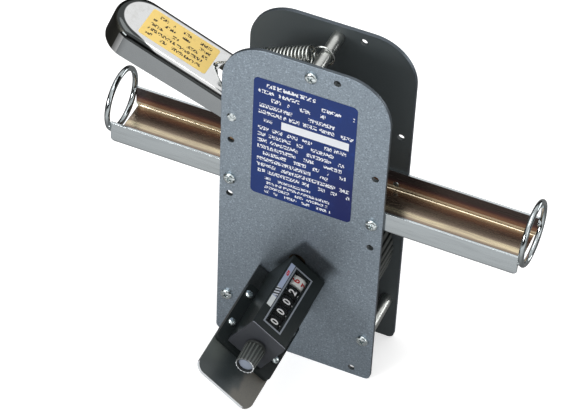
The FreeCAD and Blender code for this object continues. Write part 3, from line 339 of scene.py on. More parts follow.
# How far a face may lie off the plane where it is looked for.
SKIN = 0.1 * MM


def grained(name, base, first, second, grain_size, rough, depth=0.0, edge=0.0, **settings):
    """A finish whose colour and roughness each run from one value to another over a fine grain."""
    finish = Finish(name, base, **settings)
    grain = finish.noise(grain_size, 3.0)
    if depth:
        finish.relief(grain, depth, edge)
    return finish.surface(finish.mix(grain, first, second), grain.spread(*rough))


def chrome(finish, shade, worn):
    """The colour and the roughness of chrome with worn patches, over a surface with slow waves."""
    haze = finish.noise(5 * MM, 4.0, 0.65)
    finish.relief(finish.noise(16 * MM, 1.0), 0.2 * MM, 0.45 * MM)
    plated = finish.mix(haze.ramp(0.45, 0.8, 0.0, 0.6), shade, worn)
    return plated, haze.ramp(0.3, 0.8, 0.08, 0.16)


def hammered_enamel():
    """Grey hammered enamel outside, plain dark enamel between the plates and in their holes.

    It is dark along the plates' edges, and a painted shadow of the counter darkens the plate above
    it.
    """
    enamel = tuple(colours().enamel)
    finish = Finish("hammered_enamel", enamel, roughness=0.4)
    x, y, z = finish.place()
    dimples = finish.cells(1.7 * MM)
    flecks = finish.noise(1.0 * MM, 3.0, 0.7)
    cloud = finish.noise(40 * MM)
    shoulder = sizes().shoulder
    edge_depth = 0.4 * MM
    aside = (abs(x) - (PLATE_HIGH.x - shoulder)).at_least(0)
    above = (z - (PLATE_HIGH.z - shoulder)).at_least(0)
    corner = hypotenuse(aside, above)
    edge = (corner > shoulder - edge_depth).at_least(z < edge_depth)
    between = y.within(PLATE_LOW.y + SKIN, REAR_HIGH.y - SKIN) * (1 - edge)
    front_edge = y.within(PLATE_LOW.y + edge_depth, PLATE_HIGH.y + SKIN) * edge
    rear_edge = y.within(REAR_LOW.y - SKIN, REAR_HIGH.y - SKIN * 2) * edge
    outside = finish.mix(flecks.ramp(0.52, 0.72), enamel, scaled(enamel, 1.8))
    outside = finish.mix(flecks.ramp(0.44, 0.30), outside, scaled(enamel, 0.55))
    outside = finish.mix(cloud.ramp(0.35, 0.7, 0.0, 0.25), outside, scaled(enamel, 0.8))
    outside = finish.mix(rear_edge.at_least(front_edge), outside, scaled(enamel, 0.35))
    across, out, height = finish.shelf_place()
    above_case = height - sizes().case_height
    # Painted shadow of the counter on the plate, darkest just above its upper end.
    counter_shadow = above_case.ramp(18 * MM, 12 * MM) * above_case.ramp(-24 * MM, -14 * MM)
    counter_shadow = counter_shadow * across.ramp(2.5 * MM, 6.5 * MM) * across.ramp(37 * MM, 26 * MM) * (out > -SKIN)
    outside = finish.mix(counter_shadow * 0.76, outside, (0.01, 0.012, 0.013))
    finish.feed("Metallic", (1 - between) * 0.8)
    finish.relief(dimples * (1 - between) + flecks * 0.2, 0.08 * MM, 0.5 * MM)
    rough = 0.38 + flecks * 0.10 + between * 0.1
    return finish.surface(finish.mix(between, outside, tuple(colours().inside)), rough)


def zinc_plate():
    """Bright zinc, cloudy and a little uneven."""
    finish = Finish("zinc_plate", (0.7, 0.72, 0.74), metallic=1.0)
    mottle = finish.noise(1.6 * MM, 3.0)
    plated = finish.mix(mottle.ramp(0.35, 0.62), (0.84, 0.90, 0.91), (0.42, 0.48, 0.49))
    finish.relief(finish.noise(0.4 * MM), 0.02 * MM, 0.25 * MM)
    return finish.surface(plated, mottle.spread(0.16, 0.30))


def turned_zinc():
    """Satin zinc of the turned posts."""
    finish = Finish("turned_zinc", (0.6, 0.62, 0.6), metallic=1.0)
    x, y, z = finish.place()
    rings = finish.noise(0.9 * MM, 2.0, 0.5, finish.vector(x * 0.1, y, z * 0.1))
    plated = finish.mix(finish.noise(5 * MM), (0.70, 0.71, 0.68), (0.50, 0.52, 0.50))
    finish.feed("Normal", finish.soft_edges(0.25 * MM))
    return finish.surface(plated, rings.spread(0.26, 0.36))


def drawn_steel():
    """Plain bright steel with drawing lines."""
    finish = Finish("drawn_steel", (0.5, 0.5, 0.5), metallic=1.0)
    x, y, z = finish.place()
    lines = finish.noise(0.5 * MM, 2.0, 0.5, finish.vector(x, y * 0.05, z))
    drawn = finish.mix(lines, (0.56, 0.55, 0.52), (0.4, 0.4, 0.39))
    finish.relief(lines, 0.02 * MM, 0.25 * MM)
    return finish.surface(drawn, lines.spread(0.22, 0.4))


def ring_chrome():
    """Chrome plating over bent wire."""
    shade = (0.44, 0.48, 0.49)
    finish = Finish("ring_chrome", shade, metallic=1.0)
    return finish.surface(*chrome(finish, shade, (0.24, 0.26, 0.26)))


def lever_chrome():
    """Bright plating on the top, with painted dark reflections round the nose's bend and on the
    duller skirt.

    The faces under and inside its sheet are darkened as painted shade.
    """
    shade = (0.74, 0.75, 0.75)
    finish = Finish("lever_chrome", shade, metallic=1.0)
    x, y, z = finish.place()
    low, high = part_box("handle_lever")
    slope = sizes().lever_slope
    sheet = sizes().lever_sheet * 0.8
    half_width = (high.y - low.y) / 2
    off_middle = y - (high.y + low.y) / 2
    rise = (x - PIVOT.x) * math.sin(slope) + (z - PIVOT.z) * math.cos(slope)
    below_top = sizes().lever_rise - rise
    outwards = (z - PIVOT.z) * math.sin(slope) - (x - PIVOT.x) * math.cos(slope)
    aside = half_width - abs(off_middle)
    # Painted shade on the faces under and inside the sheet.
    under = (below_top > sheet) * (aside > sheet)
    # Painted reflection: the skirt is coloured darker; it is also rougher.
    skirt = (aside < 0.4 * MM) * (below_top > 4 * MM)
    beyond_nose = (outwards - sizes().nose_start).at_least(0)
    from_rim = half_width - hypotenuse(beyond_nose, off_middle)
    # Painted reflection: a dark band round the bend of the nose, widening towards it.
    bend_width = outwards.ramp(52 * MM, 80 * MM, 0.9 * MM, 5.4 * MM)
    bend = (bend_width - from_rim).ramp(0, 0.7 * MM) * (below_top < 4.5 * MM)
    plated, rough = chrome(finish, shade, (0.62, 0.62, 0.60))
    plated = finish.mix(skirt, plated, (0.34, 0.36, 0.37))
    plated = finish.mix(bend, plated, (0.055, 0.06, 0.06))
    plated = finish.mix(under, plated, (0.07, 0.07, 0.06))
    return finish.surface(plated, rough + skirt * 0.12 + under * 0.3)


def trough_chrome():
    """The trough's plating, grey outside and in bands of colour inside.

    A painted highlight runs as a brassy lane along its floor. Its walls go from a painted cream
    highlight at the bend over amber and brown to black.
    """
    shade = (0.62, 0.67, 0.69)
    finish = Finish("trough_chrome", shade, metallic=1.0)
    x, y, z = finish.place()
    low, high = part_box("guide_channel")
    inner_face = 1.3 * MM
    height = z - low.z
    inside = y.within(low.y + inner_face, high.y - inner_face) * (height > inner_face)
    streak = finish.noise(2.5 * MM, 3.0, 0.6, finish.vector(x * 0.08, y, z))
    maroon = finish.mix(streak, (0.17, 0.080, 0.070), (0.055, 0.028, 0.026))
    brassy = finish.mix(streak, (1.0, 0.90, 0.62), (0.74, 0.58, 0.36))
    cream = finish.mix(streak, (1.0, 0.92, 0.72), (0.85, 0.72, 0.50))
    amber = finish.mix(streak, (0.42, 0.25, 0.15), (0.28, 0.14, 0.10))
    black = finish.mix(streak, (0.085, 0.070, 0.070), (0.050, 0.040, 0.040))
    brown = (0.11, 0.055, 0.058)
    # Painted highlight: a brassy lane along the trough's floor.
    lane = abs(y - low.y - 18.5 * MM).ramp(2.8 * MM, 1.1 * MM)
    warm = finish.mix(lane * streak.ramp(0.35, 0.6, 0.4, 1.0), maroon, brassy)
    # Millimetres above the trough's underside where each band begins and where it is full. The
    # cream band is a painted highlight.
    wall_bands = ((1.5, 1.8, cream), (3.9, 4.6, amber), (5.6, 8.6, brown), (7.8, 10.6, black))
    for begins, full, wall_band in wall_bands:
        warm = finish.mix(height.ramp(begins * MM, full * MM), warm, wall_band)
    outside = finish.mix(streak.ramp(0.4, 0.8), shade, scaled(shade, 0.86))
    finish.feed("Metallic", 1 - inside * (height > 3 * MM) * 0.45)
    finish.relief(streak, 0.03 * MM, 0.4 * MM)
    rough = streak.spread(0.12, 0.24) + inside * 0.08
    return finish.surface(finish.mix(inside, outside, warm), rough)


def bearing_bronze():
    """Sintered bronze, dark with oil."""
    return grained("bearing_bronze", (0.09, 0.065, 0.045), (0.13, 0.09, 0.055), (0.05, 0.04, 0.03),
                   2 * MM, (0.3, 0.5), metallic=1.0)


def wheel_casting():
    """Dark cast metal, with a painted highlight along the crests of its ribs."""
    finish = Finish("wheel_casting", (0.1, 0.1, 0.1), metallic=0.85)
    x, _, z = finish.place()
    low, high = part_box("measuring_wheel")
    radius = (high.z - low.z) / 2
    centre = joint_point("wheel_spin")
    away = hypotenuse(x - centre.x, z - centre.z)
    # Painted highlight along the ribs' crests, which are also smoother.
    crest = away.ramp(radius - 0.6 * MM, radius - 0.1 * MM)
    grain = finish.noise(0.8 * MM, 3.0)
    cast = finish.mix(grain, (0.030, 0.034, 0.032), (0.055, 0.060, 0.057))
    finish.relief(grain, 0.06 * MM)
    crest_highlighted = finish.mix(crest, cast, (0.085, 0.092, 0.086))
    return finish.surface(crest_highlighted, crest.ramp(0.0, 1.0, 0.55, 0.32))


def bracket_enamel():
    """Stoved black enamel, greyer on its left, brown on its right and at its front right.

    The rim of the shelf's front edge and of its left corner is worn, and painted bright as a
    highlight.
    """
    finish = Finish("bracket_enamel", (0.008, 0.008, 0.009), coat_weight=1.0, coat_roughness=0.3)
    peel = finish.noise(2.0 * MM, 2.0)
    dust = finish.noise(0.7 * MM, 4.0, 0.7)
    smear = finish.noise(9 * MM, 3.0)
    across, out, _ = finish.shelf_place()
    inwards = PLATE_LOW.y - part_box("counter_bracket")[0].y - out
    ragged = across + (smear - 0.5) * 8 * MM
    corner = sizes().bracket_corner
    rim_width = 0.35 * MM
    from_corner = hypotenuse(corner - across, corner - inwards)
    round_rim = (from_corner > corner - rim_width) * (across < corner) * (inwards < corner * 0.8)
    rim = (inwards < rim_width).at_least(round_rim)
    inner = inwards.ramp(28 * MM, 34 * MM)
    ground = finish.mix(inner, (0.022, 0.030, 0.032), (0.006, 0.008, 0.008))
    greyer_left = ragged.ramp(16 * MM, 5 * MM) * inwards.ramp(6 * MM, 20 * MM, 0.25, 1.0)
    ground = finish.mix(greyer_left * (inwards < 31 * MM), ground, (0.072, 0.084, 0.076))
    right = ragged.ramp(27 * MM, 31 * MM) * inwards.ramp(32 * MM, 26 * MM)
    front = ragged.ramp(22 * MM, 29 * MM) * inwards.ramp(10 * MM, 5 * MM)
    ground = finish.mix(right.at_least(front), ground, (0.105, 0.098, 0.080))
    black = finish.mix(dust.ramp(0.4, 0.85), ground, (0.048, 0.055, 0.055))
    # Worn rim painted bright as a highlight, broken up by the dust.
    worn = rim * dust.ramp(0.2, 0.5, 0.6, 1.0)
    finish.feed("Coat Weight", inwards.ramp(30 * MM, 36 * MM, 0.8, 0.3))
    finish.relief(peel, 0.04 * MM, 0.5 * MM)
    return finish.surface(finish.mix(worn, black, (0.62, 0.64, 0.66)), 0.3 + smear * 0.16)


def knob_plastic():
    """Black plastic, paler along the flutes' crests, with a painted highlight as a pale rim at its
    outer end.
    """
    finish = Finish("knob_plastic", (0.02, 0.02, 0.022))
    low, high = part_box("reset_knob")
    x, y, z = finish.place()
    grain = finish.noise(0.3 * MM, 3.0)
    radius = (high.x - low.x) / 2
    aside = x - FIGURE_AXIS.x
    above = z - FIGURE_AXIS.z
    away = hypotenuse(aside, above)
    # Painted highlight: a pale rim at the outer end, faint on the side away from the light.
    rim = (y < low.y + 0.3 * MM) * (away > radius - 1.15 * MM)
    lit_side = (aside * 0.4 - above) / away
    rim = rim * lit_side.ramp(-0.9, -0.3, 0.15, 1.0)
    draft = 0.038
    groove = radius - away - (high.y - y) * draft
    crest = (groove < 0.16 * MM) * (y < high.y - 2 * MM)
    body = finish.mix(grain, (0.018, 0.020, 0.019), (0.036, 0.040, 0.038))
    body = finish.mix(crest, body, (0.085, 0.095, 0.088))
    finish.relief(grain, 0.03 * MM, 0.25 * MM)
    return finish.surface(finish.mix(rim, body, (0.74, 0.77, 0.80)), grain.spread(0.25, 0.4))


def spring_wire_finish():
    """Oiled spring steel."""
    return grained("spring_wire", (0.5, 0.5, 0.48), (0.66, 0.68, 0.66), (0.42, 0.44, 0.42),
                   1.5 * MM, (0.2, 0.36), metallic=1.0)


def satin_black():
    """Moulded black plastic or rubber with a fine grain."""
    return grained("satin_black", (0.012, 0.013, 0.013), (0.007, 0.010, 0.010),
                   (0.014, 0.018, 0.018), 0.3 * MM, (0.28, 0.42), 0.03 * MM, 0.35 * MM,
                   specular_ior_level=0.24)


def plain_ink(name, shade, rough=0.5, gloss=0.5):
    """Printed or moulded colour with a little unevenness."""
    return grained(name, shade, scaled(shade, 1.08), scaled(shade, 0.86), 0.6 * MM,
                   (rough - 0.08, rough + 0.08), specular_ior_level=gloss)


def charcoal():
    """Matt charcoal plastic with a painted highlight as a pale line along its upper joint with the
    case.
    """
    finish = Finish("charcoal", (0.04, 0.04, 0.046))
    joint_out = PLATE_LOW.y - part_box("counter_end_cap")[1].y
    _, out, height = finish.shelf_place()
    # Painted highlight: a pale line along the cap's upper joint with the case.
    joint = (out < joint_out + 0.4 * MM) * (height > sizes().case_height - 0.6 * MM)
    grain = finish.noise(0.35 * MM, 3.0)
    moulded = finish.mix(grain, (0.024, 0.027, 0.032), (0.046, 0.050, 0.060))
    finish.relief(grain, 0.04 * MM, 0.3 * MM)
    return finish.surface(finish.mix(joint, moulded, (0.26, 0.27, 0.31)), grain.spread(0.45, 0.6))


def printed_rows(finish, across, down, pitch, rows, width, letter, seed):
    """A mask of rows of marks like small letters, as plain stand-ins for lines of print.

    across and down are distances from the print's upper left corner, in millimetres as the rest.
    """
    row = (down / pitch).floor()
    band = (down / pitch).fraction().within(0.2, 0.76)
    chance = finish.node("ShaderNodeTexWhiteNoise", {"noise_dimensions": "1D"}, {"W": row + seed})
    ends = width * (1 - chance * 0.3)
    words = finish.vector(across / (letter * 3), row * 7.3 + seed, 0.5)
    words = finish.noise(1.0, 0.0, 0.5, words)
    strokes = finish.vector(across / (letter * 0.5), down / (letter * 0.7), row + seed)
    strokes = finish.noise(1.0, 0.0, 0.5, strokes)
    inside = across.within(0, ends) * down.within(0, pitch * rows)
    return band * inside * (words > 0.42) * (strokes > 0.49)


# Blocks of print on the front panel: left and upper edges, pitch and count of the rows, width of
# the block and of a letter. Then the blank field's left, right, upper and lower edges, and the
# right margin of the print. Lengths are in millimetres.
PANEL_PRINT = (
    (8.0, 1.8, 5.2, 1, 50.0, 2.6),
    (3.0, 7.0, 4.8, 1, 70.0, 2.3),
    (8.0, 12.0, 5.0, 1, 50.0, 2.1),
    (3.5, 17.8, 4.9, 2, 62.0, 1.8),
    (4.0, 29.2, 4.2, 1, 11.0, 1.3),
    (3.5, 35.4, 4.8, 8, 66.0, 1.8),
    (9.0, 74.6, 3.6, 4, 50.0, 1.5),
)
PANEL_FIELD = (18.0, 60.0, 28.4, 34.2)
PANEL_MARGIN = 62.5


def panel_foil():
    """Blue foil with rows of pale print and a blank writing field, darker at its lower right."""
    blue = tuple(colours().panel)
    finish = Finish("panel_foil", blue, roughness=0.34, specular_ior_level=0.25)
    x, _, z = finish.place()
    across = (x - PANEL_LOW.x) / MM
    down = (PANEL_HIGH.z - z) / MM
    left, right, top, bottom = PANEL_FIELD
    mask = across.within(left, right) * down.within(top, bottom)
    for seed, (left, top, *block) in enumerate(PANEL_PRINT):
        mask = mask + printed_rows(finish, across - left, down - top, *block, seed)
    mask = mask * (across < PANEL_MARGIN)
    wear = finish.noise(6 * MM, 4.0, 0.7)
    ground = finish.mix(wear.ramp(0.5, 0.8), blue, scaled(blue, 1.4))
    darker = across.ramp(34.0, 58.0) * down.ramp(40.0, 72.0, 0.0, 0.65)
    ground = finish.mix(darker, ground, (0.014, 0.012, 0.070))
    printed = finish.mix(mask.ramp(0.0, 0.5), ground, tuple(colours().panel_print))
    finish.relief(wear, 0.03 * MM)
    return finish.surface(printed, wear.spread(0.3, 0.45))


def plaque_foil():
    """Yellow foil with rows of dark print along the lever."""
    yellow = tuple(colours().plaque)
    finish = Finish("plaque_foil", yellow, roughness=0.4, specular_ior_level=0.3)
    low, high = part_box("handle_label")
    x, y, _ = finish.place()
    along = (x - low.x) / math.cos(sizes().lever_slope) / MM
    aside = (high.y - y) / MM
    left, top, pitch, rows, width, letter, margin = 3.5, 1.6, 3.9, 5, 52.0, 1.9, 42.5
    mask = printed_rows(finish, along - left, aside - top, pitch, rows, width, letter, 2)
    mask = mask * (along < margin)
    wear = finish.noise(5 * MM, 4.0, 0.7)
    ground = finish.mix(wear.ramp(0.5, 0.8), yellow, scaled(yellow, 0.86))
    printed = finish.mix(mask, ground, tuple(colours().plaque_print))
    return finish.surface(printed, wear.spread(0.32, 0.5))


def clear_window():
    """Clear plastic, seen mostly by its gloss."""
    finish = Finish("clear_window", (0.02, 0.022, 0.024), roughness=0.06, alpha=0.08)
    smear = finish.noise(7 * MM, 3.0)
    finish.feed("Roughness", smear.ramp(0.3, 0.8, 0.04, 0.14))
    return finish.material


def legend_foil():
    """Strip in two tints with a red mark beside the tenths and a few slanting ticks."""
    tint = (0.30, 0.35, 0.47)
    finish = Finish("legend_foil", tint, roughness=0.45)
    low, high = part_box("legend_strip")
    x, y, _ = finish.place()
    out = (high.y - y) / MM
    across = (x - low.x) / math.cos(sizes().counter_tilt) / MM
    mark = out.within(6.0, 10.0) * across.within(0.7, 2.5)
    mark = mark * (finish.noise(0.9 * MM, 1.0) > 0.44)
    ground = finish.mix(out > 28.5, tint, (0.56, 0.59, 0.59))
    ground = finish.mix(mark, ground, tuple(colours().tenths))
    slant, pitch = 0.6, 2.2
    ticks = ((out + across * slant) / pitch).fraction() < 0.5
    ruled = finish.mix(ticks, (0.50, 0.53, 0.57), (0.006, 0.006, 0.008))
    finish.feed("Base Color", finish.mix(out.within(20.5, 27.6), ground, ruled))
    return finish.material


# ---- making pieces -----------------------------------------------------------------------------

def dress(material, *names):
    """Gives CAD nodes a material."""
    for name in names:
        data = NODES[name].data
        data.materials.clear()
        data.materials.append(material)


def mesh_of(bm, name):
    """Turns a bmesh into a mesh and frees it."""
    mesh = bpy.data.meshes.new(name)
    bm.to_mesh(mesh)
    bm.free()
    return mesh


def linked(name, data):
    """A new object, linked to the scene."""
    thing = bpy.data.objects.new(name, data)
    bpy.context.scene.collection.objects.link(thing)
    return thing


def settle(bm, name, material, body):
    """Turns a bmesh into a flat-shaded piece that rides on a body."""
    mesh = mesh_of(bm, name)
    mesh.materials.append(material)
    mesh.polygons.foreach_set("use_smooth", [False] * len(mesh.polygons))
    piece = linked(name, mesh)
    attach(piece, body)
    return piece


def baked(thing):
    """The mesh that a curve, a text or a mesh with modifiers shows. The object itself goes."""
    graph = bpy.context.evaluated_depsgraph_get()
    mesh = bpy.data.meshes.new_from_object(thing.evaluated_get(graph))
    bpy.data.objects.remove(thing)
    return mesh


def wire_along(points, radius):
    """The mesh of a round wire along points."""
    curve = bpy.data.curves.new("wire", "CURVE")
    curve.dimensions = "3D"
    curve.bevel_depth = radius
    curve.bevel_resolution = 3
    curve.use_fill_caps = True
    spline = curve.splines.new("POLY")
    spline.points.add(len(points) - 1)
    for point, place in zip(spline.points, points):
        point.co = (*place, 1)
    return baked(linked("wire", curve))


def shelf_matrix():
    """From the counter's own axes, with X across, Y inwards and Z up from its bracket."""
    origin = Vector((FIGURE_AXIS.x, PLATE_LOW.y, FIGURE_AXIS.z))
    return Matrix.Translation(origin) @ Matrix.Rotation(sizes().counter_tilt, 4, "Y")


def solids_of(name, axes):
    """The corners of each loose solid of a CAD node, measured in other axes."""
    bm = bmesh.new()
    bm.from_mesh(NODES[name].data)
    bmesh.ops.remove_doubles(bm, verts=bm.verts, dist=0.002 * MM)
    bmesh.ops.transform(bm, matrix=axes.inverted(), verts=bm.verts)
    waiting = set(bm.verts)
    found = []
    while waiting:
        members = [waiting.pop()]
        for vertex in members:
            for edge in vertex.link_edges:
                other = edge.other_vert(vertex)
                if other in waiting:
                    waiting.remove(other)
                    members.append(other)
        low = Vector([min(v.co[axis] for v in members) for axis in range(3)])
        high = Vector([max(v.co[axis] for v in members) for axis in range(3)])
        found.append((low, high))
    bm.free()
    return sorted(found, key=lambda corners: tuple(corners[0]))


def turned(outline):
    """A bmesh of an outline of (radius, height) points, spun about Z."""
    sides = 40
    bm = bmesh.new()
    rim = [bm.verts.new((radius, 0, height)) for radius, height in outline]
    edges = [bm.edges.new(pair) for pair in zip(rim, rim[1:])]
    bmesh.ops.spin(bm, geom=rim + edges, cent=(0, 0, 0), axis=(0, 0, 1), angle=math.tau,
                   steps=sides, use_merge=True)
    bmesh.ops.remove_doubles(bm, verts=bm.verts, dist=0.001 * MM)
    bmesh.ops.recalc_face_normals(bm, faces=bm.faces)
    return bm


def cross_cutter(radius, height):
    """Two tapered blades that cut a cross recess into a head of that size."""
    bm = bmesh.new()
    span = radius * 1.15
    thickness = radius * 0.27
    taper = (0.62, 0.55, 1)
    for turn in (0, math.pi / 2):
        blade = bmesh.ops.create_cube(bm, size=1)["verts"]
        bmesh.ops.scale(bm, vec=(span, thickness, height), verts=blade)
        foot = [vertex for vertex in blade if vertex.co.z < 0]
        bmesh.ops.scale(bm, vec=taper, verts=foot)
        bmesh.ops.translate(bm, vec=(0, 0, height * 0.9), verts=blade)
        bmesh.ops.rotate(bm, cent=(0, 0, 0), matrix=Matrix.Rotation(turn, 3, "Z"), verts=blade)
    return bm


# Outline of a pan head from its underside to its top, in shares of its radius and height.
PAN_HEAD = ((0.97, 0), (1, 0.10), (1, 0.34), (0.965, 0.52), (0.88, 0.70), (0.74, 0.85),
            (0.54, 0.945), (0.28, 0.99), (0, 1))


def pan_screw(radius, height, shank, reach):
    """The mesh of a pan-head screw along Z. Its head's underside is at z = 0."""
    chamfer = shank * 0.28
    outline = [(0, -reach), (shank - chamfer, -reach), (shank, chamfer - reach), (shank, 0)]
    outline += [(radius * out, height * up) for out, up in PAN_HEAD]
    screw = linked("screw", mesh_of(turned(outline), "screw"))
    cutter = linked("cutter", mesh_of(cross_cutter(radius, height), "cutter"))
    recess = screw.modifiers.new("recess", "BOOLEAN")
    recess.operation = "DIFFERENCE"
    recess.solver = "EXACT"
    recess.use_self = True
    recess.object = cutter
    made = baked(screw)
    bpy.data.objects.remove(cutter)
    return made


def screw_set(name, node, material, axes, head_height, head_radius, shank):
    """Detailed screws in the place of a CAD node's, whose heads point along Z of the given axes.

    Their recesses stand at different angles.
    """
    first_turn, next_turn = 0.4, 1.1
    bm = bmesh.new()
    for index, (low, high) in enumerate(solids_of(node, axes)):
        underside = high.z - head_height
        template = pan_screw(head_radius, head_height, shank, underside - low.z)
        place = Matrix.Translation(((low.x + high.x) / 2, (low.y + high.y) / 2, underside))
        turn = Matrix.Rotation(first_turn + index * next_turn, 4, "Z")
        template.transform(axes @ place @ turn)
        bm.from_mesh(template)
        bpy.data.meshes.remove(template)
    piece = settle(bm, name, material, "frame")
    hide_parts(node)
    return piece


def smooth_by_angle(piece, degrees=35):
    """Smooth shading that keeps edges sharper than an angle."""
    piece.data.polygons.foreach_set("use_smooth", [True] * len(piece.data.polygons))
    piece.data.set_sharp_from_angle(angle=math.radians(degrees))


# ---- operators: one for each piece or group of like pieces -------------------------------------

class MeterOperator:
    """What the operators share."""

    bl_options = {"REGISTER", "UNDO"}


class METER_OT_plates(MeterOperator, bpy.types.Operator):
    """Enamels the side plates and plates the posts between them"""

    bl_idname = "meter.plates"
    bl_label = "Side plates and posts"

    def execute(self, context):
        dress(hammered_enamel(), "front_plate", "rear_plate")
        dress(turned_zinc(), "top_post", "lower_left_post", "lower_right_post")
        return {"FINISHED"}


class METER_OT_panels(MeterOperator, bpy.types.Operator):
    """Prints the foil panels of the plate and the lever"""

    bl_idname = "meter.panels"
    bl_label = "Printed panels"

    def execute(self, context):
        dress(panel_foil(), "plate_label")
        dress(plaque_foil(), "handle_label")
        return {"FINISHED"}


class METER_OT_screws(MeterOperator, bpy.types.Operator):
    """Makes the pan-head screws of the plates, the bracket and the counter"""

    bl_idname = "meter.screws"
    bl_label = "Pan-head screws"

    def execute(self, context):
        zinc = zinc_plate()
        forwards = Matrix.Rotation(math.pi / 2, 4, "X")
        backwards = Matrix.Rotation(-math.pi / 2, 4, "X")
        large = (sizes().screw_head_height, sizes().screw_head, sizes().screw_shank)
        small = (sizes().small_head_height, sizes().small_head, sizes().small_shank)
        sets = (
            ("front_pan_heads", "front_plate_screws", forwards, large),
            ("rear_pan_heads", "rear_plate_screws", backwards, large),
            ("bracket_pan_heads", "bracket_screws", forwards, small),
            ("counter_pan_heads", "counter_screws", shelf_matrix(), small),
        )
        for name, node, axes, size in sets:
            smooth_by_angle(screw_set(name, node, zinc, axes, *size))
        return {"FINISHED"}


class METER_OT_trough(MeterOperator, bpy.types.Operator):
    """Plates the rope trough and its rings"""

    bl_idname = "meter.trough"
    bl_label = "Trough and rings"

    def execute(self, context):
        dress(trough_chrome(), "guide_channel")
        dress(ring_chrome(), "left_ring", "right_ring")
        return {"FINISHED"}


class METER_OT_wheel(MeterOperator, bpy.types.Operator):
    """Finishes the measuring wheel, its shaft, its bushes and the two gears"""

    bl_idname = "meter.wheel"
    bl_label = "Measuring wheel and drive"

    def execute(self, context):
        dress(wheel_casting(), "measuring_wheel")
        dress(drawn_steel(), "wheel_shaft", "shaft_collar", "collar_set_screw", "wheel_gear",
              "input_gear", "input_shaft")
        dress(bearing_bronze(), "front_wheel_bush", "rear_wheel_bush", "input_bush")
        return {"FINISHED"}


class METER_OT_lever(MeterOperator, bpy.types.Operator):
    """Finishes the lever, its pivot and the pressure roller"""

    bl_idname = "meter.lever"
    bl_label = "Lever and roller"

    def execute(self, context):
        dress(lever_chrome(), "handle_lever")
        dress(drawn_steel(), "pivot_sleeve", "roller_axle", "axle_clips", "roller_washers")
        dress(zinc_plate(), "pivot_pin", "pivot_spacers")
        dress(satin_black(), "pressure_roller")
        dress(bearing_bronze(), "roller_bush")
        return {"FINISHED"}


def spring_points():
    """Points along the return spring's wire, and its ends at the lever and at the top post.

    The wire comes up through the lever, bends towards the post, winds its turns and goes round the
    post in a loop.
    """
    size = sizes()
    slope = size.lever_slope
    lever_top = Vector((math.sin(slope), 0, math.cos(slope)))
    lever_out = Vector((-math.cos(slope), 0, math.sin(slope)))
    start = PIVOT + lever_out * size.hook_reach + lever_top * (size.lever_rise + size.hook_lift)
    post_low, post_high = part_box("top_post")
    end = (post_low + post_high) / 2
    start.y = end.y
    along = (end - start).normalized()
    aside = Vector((0, 1, 0))
    upwards = aside.cross(along)
    wire = size.spring_wire
    loop = (post_high.x - post_low.x) / 2 + size.loop_slack + wire
    contact_gap = 0.05 * MM
    end = end - along * (size.loop_slack - contact_gap)
    lead = size.spring_lead
    wound = (end - start).length - lead - loop
    points = []

    def helix(turns, share, radius):
        angle = turns * math.tau
        outwards = upwards * math.cos(angle) + aside * math.sin(angle)
        points.append(start + along * share + outwards * radius)

    depth = size.hook_lift + size.lever_sheet + size.hook_end
    for share in (1, 0.82, 0.64, 0.46, 0.28):
        points.append(start - lever_top * depth * share)
    bend = size.hook_lift * 0.55
    bend_steps = 6
    for step in range(bend_steps + 1):
        share = step / bend_steps
        before = start - lever_top * bend * (1 - share)
        after = start + along * bend * share
        points.append(before.lerp(after, share))
    straight_steps = 3
    for step in range(1, straight_steps + 1):
        points.append(start + along * (bend + (lead - bend * 2) * step / straight_steps))
    turn_steps = 18
    for step in range(turn_steps // 2):
        share = step / (turn_steps / 2)
        helix(-0.5 + share * 0.5, lead - wire + wire * share, size.spring_coil * share)
    for step in range(size.spring_turns * turn_steps + 1):
        turn = step / turn_steps
        helix(turn, lead + wire + (wound - wire * 2) * turn / size.spring_turns, size.spring_coil)
    for step in range(1, turn_steps // 2):
        share = 1 - step / (turn_steps / 2)
        helix(size.spring_turns + 0.5 - share * 0.5, lead + wound - wire * share * 0.5,
              size.spring_coil * share)
    loop_steps = 36
    for step in range(2, loop_steps - 2):
        angle = math.tau * step / loop_steps
        points.append(end - along * math.cos(angle) * loop + upwards * math.sin(angle) * loop)
    return points, start, end - along * loop


class METER_OT_spring(MeterOperator, bpy.types.Operator):
    """Winds the return spring between the lever and the top post"""

    bl_idname = "meter.spring"
    bl_label = "Return spring"

    def execute(self, context):
        points, start, end = spring_points()
        bm = bmesh.new()
        bm.from_mesh(wire_along(points, sizes().spring_wire))
        bmesh.ops.remove_doubles(bm, verts=bm.verts, dist=0.001 * MM)
        bmesh.ops.recalc_face_normals(bm, faces=bm.faces)
        mesh = mesh_of(bm, "spring_coil")
        mesh.materials.append(spring_wire_finish())
        spring = linked("spring_coil", mesh)
        smooth_by_angle(spring, 50)
        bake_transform(spring)
        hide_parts("return_spring")
        return {"FINISHED"}


class METER_OT_counter(MeterOperator, bpy.types.Operator):
    """Finishes the counter, its bracket, its window and its legend strip"""

    bl_idname = "meter.counter"
    bl_label = "Counter and bracket"

    def execute(self, context):
        dress(bracket_enamel(), "counter_bracket")
        dress(satin_black(), "counter_base", "counter_housing")
        dress(charcoal(), "counter_end_cap")
        dress(plain_ink("window_line", (0.20, 0.22, 0.25)), "window_bezel")
        dress(clear_window(), "window_lens")
        dress(legend_foil(), "legend_strip")
        dress(zinc_plate(), "counter_nuts")
        dress(plain_ink("drum_black", (0.009, 0.010, 0.010), 0.5, 0.12), "units_wheel",
              "tens_wheel", "hundreds_wheel", "thousands_wheel")
        dress(plain_ink("drum_white", (0.84, 0.86, 0.83), 0.4), "tenths_wheel")
        return {"FINISHED"}


